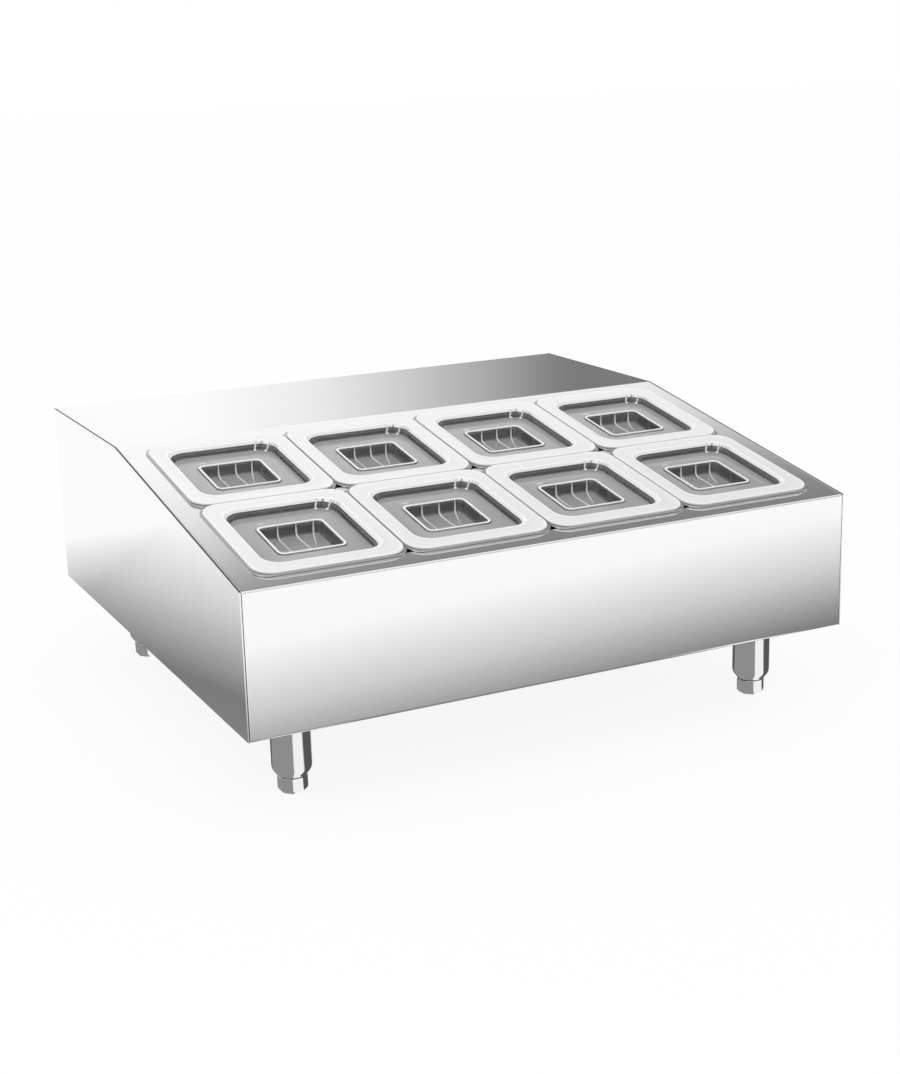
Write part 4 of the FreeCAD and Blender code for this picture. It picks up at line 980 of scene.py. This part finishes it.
@dataclass
class Pans(Assembly):
    """Eight sixth-size pans, each with its lid."""

    pitch: tuple[float, float] = (162.5 * MM, 176.5 * MM)
    pan_out: float = 1.8 * MM
    lid_out: float = 4.2 * MM
    pan_rows: Rows = (
        (30, 36, 6, -99, 0), (57.6, 64.6, 17, -99, 9), (70.4, 77.4, 22, 0, 2.6), (81, 88, 15, 0, 0.9),
        (81, 88, 15, -1.5, 0.5), (71.5, 78.5, 22.8, -1.5, 2.2), (58.6, 65.6, 18, -100, 10),
        (30, 36, 6, -100, 0),
    )
    # the last number of each row is the lid's mark: high on the rims, the skirt and the bead; low on the
    # walls of the grip and the well and beside the bead, where the smoke grey is painted shade
    lid_rows: Rows = (
        (22, 20, 2, -23, 0, 0.3), (31.6, 29.6, 4.5, -23, 2.5, 0.3), (32.2, 30.2, 4.7, -19.5, 0, 0.1),
        (34, 32, 5.2, -9.8, 0, 0.06), (34.4, 32.4, 5.5, -8.2, 0.7, 0.95),
        (36.7, 34.7, 7.2, -8.2, 0.7, 0.95), (37, 35, 7.5, -9.3, 0, 0.15), (37.1, 35.1, 7.6, -10, 0.4, 0.05),
        (38.4, 36.4, 8.6, -10, 0, 0.36), (57.6, 62.6, 18, -10, 1.6, 0.34), (58, 63, 18.1, -9.1, 0, 0.02),
        (59.2, 64.2, 18.6, -6, 0.3, 0.02), (59.7, 64.7, 18.8, -5.6, 0.3, 0.2),
        (59.9, 64.9, 18.9, -4.9, 0.3, 0.02), (60.8, 65.8, 19.3, -3.9, 0, 0.03),
        (61.1, 66.1, 19.5, -3.4, 0, 0.85), (63.2, 68.2, 20, 0, 2.4, 0.92), (65, 70, 20, 0, 0.3, 0.95),
        (65.6, 70.6, 20, -0.3, 0.3, 0.82), (77, 84.5, 20, -0.3, 0.3, 0.86),
        (77.6, 85.1, 20.3, 0, 0.3, 0.92), (79.6, 87.1, 21.4, 0, 0.9, 0.92),
        (80.3, 87.4, 21.8, -2.2, 0.3, 0.3), (80, 87.1, 21.6, -2.35, 0.1, 0.2),
        (78, 85, 20, -2.35, 0.2, 0.2), (77.6, 84.6, 20, -2, 0.2, 0.2), (64.8, 69.8, 20.5, -2, 1.5, 0.2),
        (60, 65, 19.5, -12, 3.5, 0.03), (36.9, 34.9, 7.5, -12, 1, 0.05), (33.6, 31.6, 6, -25, 2.5, 0.03),
        (22, 20, 2, -25, 0, 0.03),
    )
    rib_radius: float = 1.0 * MM
    rib_end: float = 0.3 * MM
    rib_painted_highlight: float = 0.75
    grip_head: tuple[float, float] = (31.8, -9.2)
    grip_foot: tuple[float, float] = (30.2, -22.9)
    grip_bend: float = 9
    grip_ribs: Rows = ((-13.0, 2.5, -29.0), (7.0, 4.5, -29.0), (26.0, -8.0, 2.0))
    # each post's last number is its mark: 0.6 a white post as painted highlight, 0.02 a smoke grey one as
    # painted shade, 0.12 a faint flute
    posts: Rows = ((86.0, 1.3, 0.6), (40.0, 1.3, 0.6), (66.0, 1.2, 0.02), (28.0, 0.8, 0.12),
                   (14.0, 0.8, 0.12), (1.0, 0.7, 0.12))
    post_head: tuple[float, float, float] = (43.2, 48.2, -0.9)
    post_foot: tuple[float, float, float] = (39.6, 44.6, -9.2)
    post_reach: tuple[float, float] = (19.2, 17.6)
    post_swell: tuple[float, ...] = (0.3, 0.9, 1.0, 1.0, 1.0, 1.0, 1.0, 0.4)
    lug_inset: float = 2.6
    lug_span: tuple[float, float] = (-0.6, 1.8)
    lug_swell: tuple[float, ...] = (0.4, 1.4, 1.7, 1.7, 1.4, 0.4)
    lug_painted_highlight: float = 0.95
    gate_ends: Rows = ((-32, 43, -10), (-23, 43, -10))
    gate_swell: tuple[float, ...] = (0.3, 0.8, 0.9, 0.9, 0.8, 0.3)

    def place(self, row: int, column: int) -> tuple[float, float]:
        """Middle of a pan across and up the deck."""
        return self.pitch[0] * (column - 1.5), DECK.length / 2 + self.pitch[1] * (row - 0.5)

    def moulding(self, rows: Rows, marked: bool) -> tuple[np.ndarray, np.ndarray]:
        """Carry a profile round a rounded rectangle.

        Each row holds half the width, half the length, the corner's radius and the level, then how
        far that corner of the profile is cut back. The profile is softened as a path in those four
        numbers at once, so that every level in between is a rounded rectangle too.

        Args:
            rows: The profile, from the middle of the top to the middle of the underside.
            marked: True if a last number in each row says how white the piece is there, and where it is low
                how smoke grey, as painted shade.

        Returns:
            The loops, and the mark of each.
        """
        table = np.array(rows)
        sizes = table[:, [0, 1, 2, 3]] * MM
        path = sizes if not marked else np.column_stack((sizes, table[:, 5] * MM))
        soft = soften(path, table[:, 4] * MM)
        loops = rounded_loops(soft[:, 0], soft[:, 1], soft[:, 2], soft[:, 3])
        return loops, (soft[:, 4] / MM if marked else np.zeros(len(soft)))

    def ribs(self) -> list[tuple[np.ndarray, float]]:
        """The fine ribs of a lid, in mm about its middle until they are laid out.

        Three white ribs, painted highlights, go down the back of the grip and along its floor. On the
        well's back wall and corner stand two white posts, painted highlights, each with a white lug at
        its foot as a painted highlight, a smoke grey one between them as painted shade, and three faint
        flutes. The gate mark, white as a painted highlight, lies behind the bead.

        Returns:
            Loops of each rib about the lid's own middle, with its mark: white as painted highlight, smoke
            grey as painted shade.
        """
        ribs = []
        side, ahead = (1.0, 0.0, 0.0), (0.0, 1.0, 0.0)
        for x, lean, end in self.grip_ribs:
            corners = ((x, *self.grip_head, 0), (x, *self.grip_foot, self.grip_bend),
                       (x + lean, end, self.grip_foot[1], 0))
            path = eased(corners, 9)
            radii = np.full(len(path), self.rib_radius)
            radii[[0, -1]] = self.rib_end
            ribs.append((tube_loops(path, radii, side), self.rib_painted_highlight))
        for degrees, radius, milk_and_painted_light in self.posts:
            turn = np.array([math.cos(math.radians(degrees)), math.sin(math.radians(degrees)), 0.0])
            head = np.array(self.post_head) + self.post_reach[0] * turn
            foot = np.array(self.post_foot) + self.post_reach[1] * turn
            path = np.linspace(head, foot, len(self.post_swell)) * MM
            ribs.append((tube_loops(path, np.array(self.post_swell) * radius * MM, side), milk_and_painted_light))
            if milk_and_painted_light > 0.5:  # only the two white posts, painted highlights, have a lug
                ends = (foot - turn * self.lug_inset + (0, 0, level) for level in self.lug_span)
                path = np.linspace(*ends, len(self.lug_swell)) * MM
                ribs.append((tube_loops(path, np.array(self.lug_swell) * MM, side), self.lug_painted_highlight))
        path = np.linspace(*self.gate_ends, len(self.gate_swell)) * MM
        ribs.append((tube_loops(path, np.array(self.gate_swell) * MM, ahead), self.rib_painted_highlight))
        return ribs

    def build(self) -> None:
        """Build the pans and lids, each at its own place on the deck."""
        pan_loops, _ = self.moulding(self.pan_rows, False)
        lid_loops, milk_and_painted_light = self.moulding(self.lid_rows, True)
        ribs = self.ribs()
        for row, row_name in enumerate(("front", "rear")):
            for column in range(4):
                across, along = self.place(row, column)
                number = column + 1
                surface = Surface()
                surface.loft(DECK.lay(pan_loops, across, along, self.pan_out))
                pan = surface.object(f"steel_pan_{row_name}_{number}", 40.0)
                self.fit(pan, PAN_STEEL, "pan_stainless", f"{row_name}_pan_{number}",
                         f"pan_{row_name}_{number}")
                surface = Surface()
                surface.loft(DECK.lay(lid_loops, across, along, self.lid_out), mark=milk_and_painted_light)
                for loops, whiteness in ribs:
                    surface.loft(DECK.lay(loops, across, along, self.lid_out), mark=whiteness)
                lid = surface.object(f"clear_lid_{row_name}_{number}", 50.0)
                self.fit(lid, LID_STOCK, "clear_lid", f"{row_name}_lid_{number}", f"lid_{row_name}_{number}")


@dataclass
class Legs(Assembly):
    """Four turned legs with bullet ends and their screw-in feet."""

    places: dict[str, tuple[float, float]] = field(default_factory=lambda: {
        "front_left": (-0.281, -0.255), "front_right": (0.281, -0.255),
        "rear_left": (-0.281, 0.230), "rear_right": (0.281, 0.230),
    })

    leg_profile: Rows = ((6.05, 65, 0), (6.05, 17.3, 0.5), (14.4, 17.3, 1.6), (20.75, 25.2, 4.5),
                         (20.75, 89.2, 0))
    foot_profile: Rows = ((9.5, 0, 0), (12.6, 0, 0.8), (15.7, 3.2, 1.0), (15.7, 17, 0.7), (5, 17, 0))
    foot_flats: int = 8
    foot_ease: float = 0.07
    shank_ends: tuple[float, float] = (16.5, 62.6)
    thread_radius: float = 5.65
    thread_depth: float = 0.35
    thread_pitch: float = 1.75

    def leg(self) -> np.ndarray:
        """The turned outline of a leg, from the top of its tapped hole out to its top."""
        return turned_loops(*eased(self.leg_profile, 8).T, 64)

    def foot(self) -> tuple[np.ndarray, np.ndarray]:
        """The foot's flats and its threaded shank.

        The shank's radius is r + d cos(2 pi z / pitch): rings in place of the thread's helix.

        Returns:
            Loops of the flats, and of the shank.
        """
        flats = sided_loops(*eased(self.foot_profile, 4).T, self.foot_flats, self.foot_ease)
        z = np.linspace(*self.shank_ends, 160)
        radius = self.thread_radius + self.thread_depth * np.cos(math.tau * z / self.thread_pitch)
        shank = turned_loops(radius * MM, z * MM, 24)
        return flats, shank

    def build(self) -> None:
        """Build the legs and feet."""
        surface = Surface()
        leg = self.leg()
        flats, shank = self.foot()
        for name, (x, y) in self.places.items():
            place = np.array([x, y, 0.0])
            surface.loft(leg + place)
            foot = Surface()
            foot.loft(flats + place)
            foot.loft(shank + place)
            piece = foot.object(f"screw_foot_{name}", 28.0)
            self.fit(piece, CHROME, "leg_chrome", f"{name}_foot", f"foot_{name}")
        self.fit(surface.object("turned_legs", 40.0), CHROME, "leg_chrome", "casing", "legs")


@dataclass
class Controls(Assembly):
    """The controls on the rear panel: thermostat knob, power switch and bushing."""

    rear_face: float = 307 * MM
    knob: tuple[float, float] = (-200 * MM, 246 * MM)
    bushing: tuple[float, float] = (-310 * MM, 136 * MM)
    knob_profile: Rows = ((3.15, 0.6, 0), (12.2, 0.6, 0), (14.0, 0.8, 0.3), (14.0, 3.2, 0.4),
                          (13.0, 4.0, 0.5), (12.2, 12.8, 0.6), (11.0, 13.6, 0.8), (4.0, 13.6, 0))
    knob_ribs: int = 24
    knob_rib_share: float = 0.06
    pointer_low: tuple[float, float, float] = (-0.9, 1.5, 13.2)
    pointer_high: tuple[float, float, float] = (0.9, 11.0, 14.6)
    pointer_ease: float = 0.3 * MM
    bushing_profile: Rows = ((3.6, -11.2, 0), (7.5, -11.2, 0.5), (7.5, 0, 0), (11.0, 0, 0.4),
                             (11.0, 6.0, 1.6), (3.6, 6.0, 0.9), (3.6, -11.2, 0))

    def on_back(self, loops: np.ndarray, place: tuple[float, float]) -> np.ndarray:
        """Stand loops out from the rear panel's face."""
        return loops @ BACK_TURN.T + np.array([place[0], self.rear_face, place[1]])

    def build(self) -> None:
        """Build the controls."""
        surface = Surface()
        ribbed = turned_loops(*eased(self.knob_profile, 4).T, 6 * self.knob_ribs, self.knob_ribs,
                              self.knob_rib_share)
        surface.loft(self.on_back(ribbed, self.knob))
        self.fit(surface.object("ribbed_knob", 35.0), BLACK, "black_plastic", "knob", "thermostat_knob")
        surface = Surface()
        low, high = np.array(self.pointer_low) * MM, np.array(self.pointer_high) * MM
        surface.loft(self.on_back(box_loops(low, high, self.pointer_ease), self.knob))
        self.fit(surface.object("knob_pointer"), WHITE_MARK, "black_plastic", "knob")
        self.dress("thermostat", BLACK)
        self.dress("power_switch", BLACK)
        self.dress("switch_rocker", BLACK)
        surface = Surface()
        path = eased(self.bushing_profile, 5)[:-1]
        surface.loft(self.on_back(turned_loops(*path.T, 48), self.bushing), wrap=True)
        self.fit(surface.object("lead_bushing", 35.0), BLACK, "black_plastic", "casing", "cord_bushing")


@dataclass
class Machine(Assembly):
    """The cooling machine under the shelf."""

    finishes: dict[str, object] = field(default_factory=lambda: {
        "compressor_shell": PAINT, "compressor_mount_plate": GALVANISED, "compressor_grommets": RUBBER,
        "compressor_terminal_cover": BLACK, "condenser_headers": ALUMINIUM, "condenser_tubes": ALUMINIUM,
        "condenser_fins": ALUMINIUM, "fan_shroud": GALVANISED, "fan_motor": BLACK,
        "fan_motor_bracket": GALVANISED, "fan_rotor": BLACK, "suction_pipe": COPPER,
        "discharge_pipe": COPPER, "filter_drier": COPPER, "capillary_tube": COPPER,
    })

    def build(self) -> None:
        """Dress the machine's nodes."""
        for node, finish in self.finishes.items():
            self.dress(node, finish)


@dataclass
class Studio:
    """The white studio: camera, floor, surroundings and lamp.

    The camera sees white all round. The mirror-bright steel would then be white as well, so glossy
    rays alone see surroundings of their own, whose plain gradients are fixed in the room.
    """

    eye: tuple[float, float, float] = (-0.87364, -1.83519, 0.72414)
    ahead: tuple[float, float, float] = (0.42531112, 0.86505861, -0.26605272)
    right: tuple[float, float, float] = (0.89401336, -0.44732582, -0.02529282)
    lens: float = 60.0
    sensor: float = 36.0
    sight: float = 60.0
    floor_half: float = 20.0
    floor_level: float = -0.5 * MM
    floor_white: float = 0.92
    floor_glow: float = 0.9
    floor_edges: tuple[tuple[float, float, float], ...] = (
        (-0.125, -1.0, -0.356), (-1.0, 0.25, -0.35), (0.8, 0.0, -0.3), (0.0, 1.0, -0.325),
    )
    painted_shadow_tones: Stops = ((0.0, 0.25), (0.12, 0.2), (0.3, 0.65), (0.5, 1.0))
    behind_x: Stops = ((-0.45, 0.0), (-0.1, 1.0))
    behind_y: Stops = ((0.4, 0.0), (1.5, 1.0))
    beside_x: Stops = ((0.45, 0.0), (1.5, 1.0))
    beside_y: Stops = ((-0.3, 0.0), (0.1, 1.0))
    fall: float = -0.35
    leg_x: float = 0.281
    leg_front: float = -0.255
    leg_span: float = 0.485
    leg_reach: float = 0.022
    short_ray: Stops = ((0.225, 1.0), (0.245, 0.0))
    leg_bands: Stops = ((0, 0.1), (20, 0.5), (58, 0.5), (64, 0.1), (132, 0.1), (140, 1.0), (188, 1.0),
                        (194, 0.3), (325, 0.3), (335, 0.1))
    card_tones: Stops = ((18, 1.0), (22, 0.85), (30, 0.2), (70, 0.2), (95, 1.0))
    card_heights: Stops = ((-2, 0.0), (2, 1.0), (17, 1.0), (22, 0.0))
    ceiling_tones: Stops = ((31, 1.0), (33, 0.8), (36, 0.2), (60, 0.25), (75, 1.0))
    ceiling_azimuths: Stops = ((-30, 0.0), (5, 1.0), (60, 1.0), (100, 0.0))
    ceiling_start: float = 20.0
    ceiling_slope: float = 0.36
    aside_tones: Stops = ((-180, 0.75), (-135, 0.4), (-95, 0.85), (-50, 0.4), (-20, 1.0), (100, 1.0),
                          (135, 0.4), (180, 0.75))
    aside_heights: Stops = ((-2, 0.0), (4, 1.0), (28, 0.7), (65, 0.0))
    lamp_place: tuple[float, float, float] = (-1.6, -1.2, 2.2)
    lamp_turns: tuple[float, float] = (-52.0, 42.0)
    lamp_size: float = 1.6
    lamp_power: float = 8.0

    def camera(self) -> None:
        """Set the camera at the photograph's place and angle."""
        data = bpy.data.cameras.new("camera")
        data.lens, data.sensor_width, data.clip_end = self.lens, self.sensor, self.sight
        camera = bpy.data.objects.new("camera", data)
        right, ahead = np.array(self.right), np.array(self.ahead)
        up = np.cross(right, ahead)
        turn = Matrix(np.column_stack((right, up, -ahead)).tolist()).to_4x4()
        camera.matrix_world = Matrix.Translation(self.eye) @ turn
        bpy.context.scene.collection.objects.link(camera)
        bpy.context.scene.camera = camera

    def floor_tone(self, wiring: Wiring) -> Socket:
        """The tone of the floor that glossy rays see.

        It is dark under the casing and rises with the distance from about its outline, a painted shadow
        of the casing that only reflections show, and falls again behind it and on its right. Near a leg a
        short ray sees bands by the bearing about the leg, painted as reflections for the chrome legs.

        Args:
            wiring: The floor's tree.

        Returns:
            The tone.
        """
        reckon = wiring.reckon
        x, y, _ = wiring.add("ShaderNodeSeparateXYZ", Vector=wiring.place()).outputs
        front, left, right, rear = (
            reckon("MULTIPLY_ADD", x, slope_x, reckon("MULTIPLY_ADD", y, slope_y, shift))
            for slope_x, slope_y, shift in self.floor_edges)
        beyond = reckon("MAXIMUM", reckon("MAXIMUM", front, left), reckon("MAXIMUM", right, rear))
        behind = reckon("MULTIPLY", wiring.ramp(x, self.behind_x, -1.0, 1.0),
                        wiring.ramp(y, self.behind_y, 0.0, 2.0))
        beside = reckon("MULTIPLY", wiring.ramp(x, self.beside_x, 0.0, 2.0),
                        wiring.ramp(y, self.beside_y, -1.0, 1.0))
        shade = reckon("MULTIPLY_ADD", reckon("MAXIMUM", behind, beside), self.fall, 1.0)
        # dark near the casing's outline: a painted shadow that only glossy rays see
        tone = reckon("MULTIPLY", wiring.ramp(beyond, self.painted_shadow_tones, 0.0, 1.0), shade)
        leg_x = reckon("MULTIPLY_ADD", reckon("SIGN", x), -self.leg_x, x)
        row = reckon("MULTIPLY_ADD", reckon("GREATER_THAN", y, 0.0), self.leg_span, self.leg_front)
        leg_y = reckon("SUBTRACT", y, row)
        reach = reckon("SQRT", reckon("MULTIPLY_ADD", leg_x, leg_x, reckon("MULTIPLY", leg_y, leg_y)))
        bearing = reckon("FLOORED_MODULO", reckon("DEGREES", reckon("ARCTAN2", leg_x, leg_y)), 360.0)
        length = wiring.add("ShaderNodeLightPath").outputs["Ray Length"]
        short = wiring.ramp(length, self.short_ray, 0.0, 1.0)
        near = reckon("MULTIPLY", short, reckon("COMPARE", reach, length, self.leg_reach))
        # near a leg: bands painted as reflections for the chrome legs
        return wiring.blend(near, tone, wiring.ramp(bearing, self.leg_bands, 0.0, 360.0))

    def floor(self) -> None:
        """A wide floor: pale to the camera, with the object's shadow, and toned to glossy rays, with a
        painted shadow of the casing and painted reflection bands for the legs.
        """
        mesh = bpy.data.meshes.new("floor")
        corners = np.array([(-1, -1), (1, -1), (1, 1), (-1, 1)]) * self.floor_half
        points = np.column_stack((corners, np.full(4, self.floor_level)))
        mesh.from_pydata(points.tolist(), [], [(0, 1, 2, 3)])
        floor = bpy.data.objects.new("floor", mesh)
        bpy.context.scene.collection.objects.link(floor)
        material, wiring = fresh("pale_floor")
        rays = wiring.add("ShaderNodeLightPath")
        pale = wiring.add("ShaderNodeBsdfDiffuse", Color=toned((self.floor_white,) * 3))
        white = wiring.add("ShaderNodeEmission", Color=toned((1.0, 1.0, 1.0)))
        mirrored = wiring.add("ShaderNodeEmission", Color=self.floor_tone(wiring))
        seen = wiring.choose(self.floor_glow, pale, white)
        plain = wiring.choose(rays.outputs["Is Camera Ray"], pale, seen)
        whole = wiring.choose(rays.outputs["Is Glossy Ray"], plain, mirrored)
        wiring.add("ShaderNodeOutputMaterial", Surface=whole.outputs[0])
        mesh.materials.append(material)

    def surroundings(self) -> None:
        """White all round, but for glossy rays a dark card, a dark ceiling and faint cards aside.

        The card stands up to about 20 degrees high, and is dark from azimuth 30 to 70 degrees. The
        ceiling begins above a line that falls from 34 degrees high at azimuth 20 to 27 degrees at
        azimuth 40. Azimuth counts from straight behind the object towards its right.
        """
        world = bpy.data.worlds.new("studio")
        bpy.context.scene.world = world
        world.use_nodes = True
        wiring = Wiring(world.node_tree)
        reckon = wiring.reckon
        way = wiring.add("ShaderNodeTexCoord").outputs["Generated"]
        x, y, z = wiring.add("ShaderNodeSeparateXYZ", Vector=way).outputs
        azimuth = reckon("DEGREES", reckon("ARCTAN2", x, y))
        height = reckon("DEGREES", reckon("ARCSINE", z))
        card = wiring.ramp(azimuth, self.card_tones, 0.0, 180.0)
        low = wiring.ramp(height, self.card_heights, -10.0, 90.0)
        dark = reckon("MULTIPLY", reckon("SUBTRACT", 1.0, card), low)
        past = reckon("SUBTRACT", azimuth, self.ceiling_start)
        line = reckon("ADD", height, reckon("MULTIPLY", past, self.ceiling_slope))
        ceiling = wiring.ramp(line, self.ceiling_tones, 0.0, 120.0)
        sideways = wiring.ramp(azimuth, self.ceiling_azimuths, -180.0, 180.0)
        over = reckon("MULTIPLY", reckon("SUBTRACT", 1.0, ceiling), sideways)
        aside = wiring.ramp(azimuth, self.aside_tones, -180.0, 180.0)
        tall = wiring.ramp(height, self.aside_heights, -10.0, 90.0)
        faint = reckon("MULTIPLY", reckon("SUBTRACT", 1.0, aside), tall)
        mirrored = reckon("SUBTRACT", 1.0, reckon("MAXIMUM", reckon("MAXIMUM", dark, over), faint))
        glossy = wiring.add("ShaderNodeLightPath").outputs["Is Glossy Ray"]
        tone = wiring.numbered("ShaderNodeMix", {"data_type": "FLOAT"}, (0, glossy), (2, 1.0), (3, mirrored))
        background = wiring.add("ShaderNodeBackground", Color=tone.outputs[0], Strength=1.0)
        wiring.add("ShaderNodeOutputWorld", Surface=background.outputs[0])

    def lamp(self) -> None:
        """One wide soft lamp from the upper left, for shape on the dull pieces."""
        data = bpy.data.lights.new("soft_lamp", "AREA")
        data.shape, data.size, data.energy = "DISK", self.lamp_size, self.lamp_power
        lamp = bpy.data.objects.new("soft_lamp", data)
        across, down = (math.radians(turn) for turn in self.lamp_turns)
        turned = Matrix.Rotation(across, 4, "Z") @ Matrix.Rotation(down, 4, "X")
        lamp.matrix_world = Matrix.Translation(self.lamp_place) @ turned
        bpy.context.scene.collection.objects.link(lamp)

    def build(self) -> None:
        """Build the studio."""
        self.camera()
        self.floor()
        self.surroundings()
        self.lamp()
        bpy.context.scene.view_settings.view_transform = "Standard"


def main() -> None:
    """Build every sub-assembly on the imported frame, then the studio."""
    logging.basicConfig(level=logging.INFO, format="%(name)s: %(message)s")
    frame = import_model()
    palette = Palette()
    for kind in (Casing, Pans, Legs, Controls, Machine):
        kind(frame, palette).build()
    Studio().build()


if __name__ == "__main__":
    main()
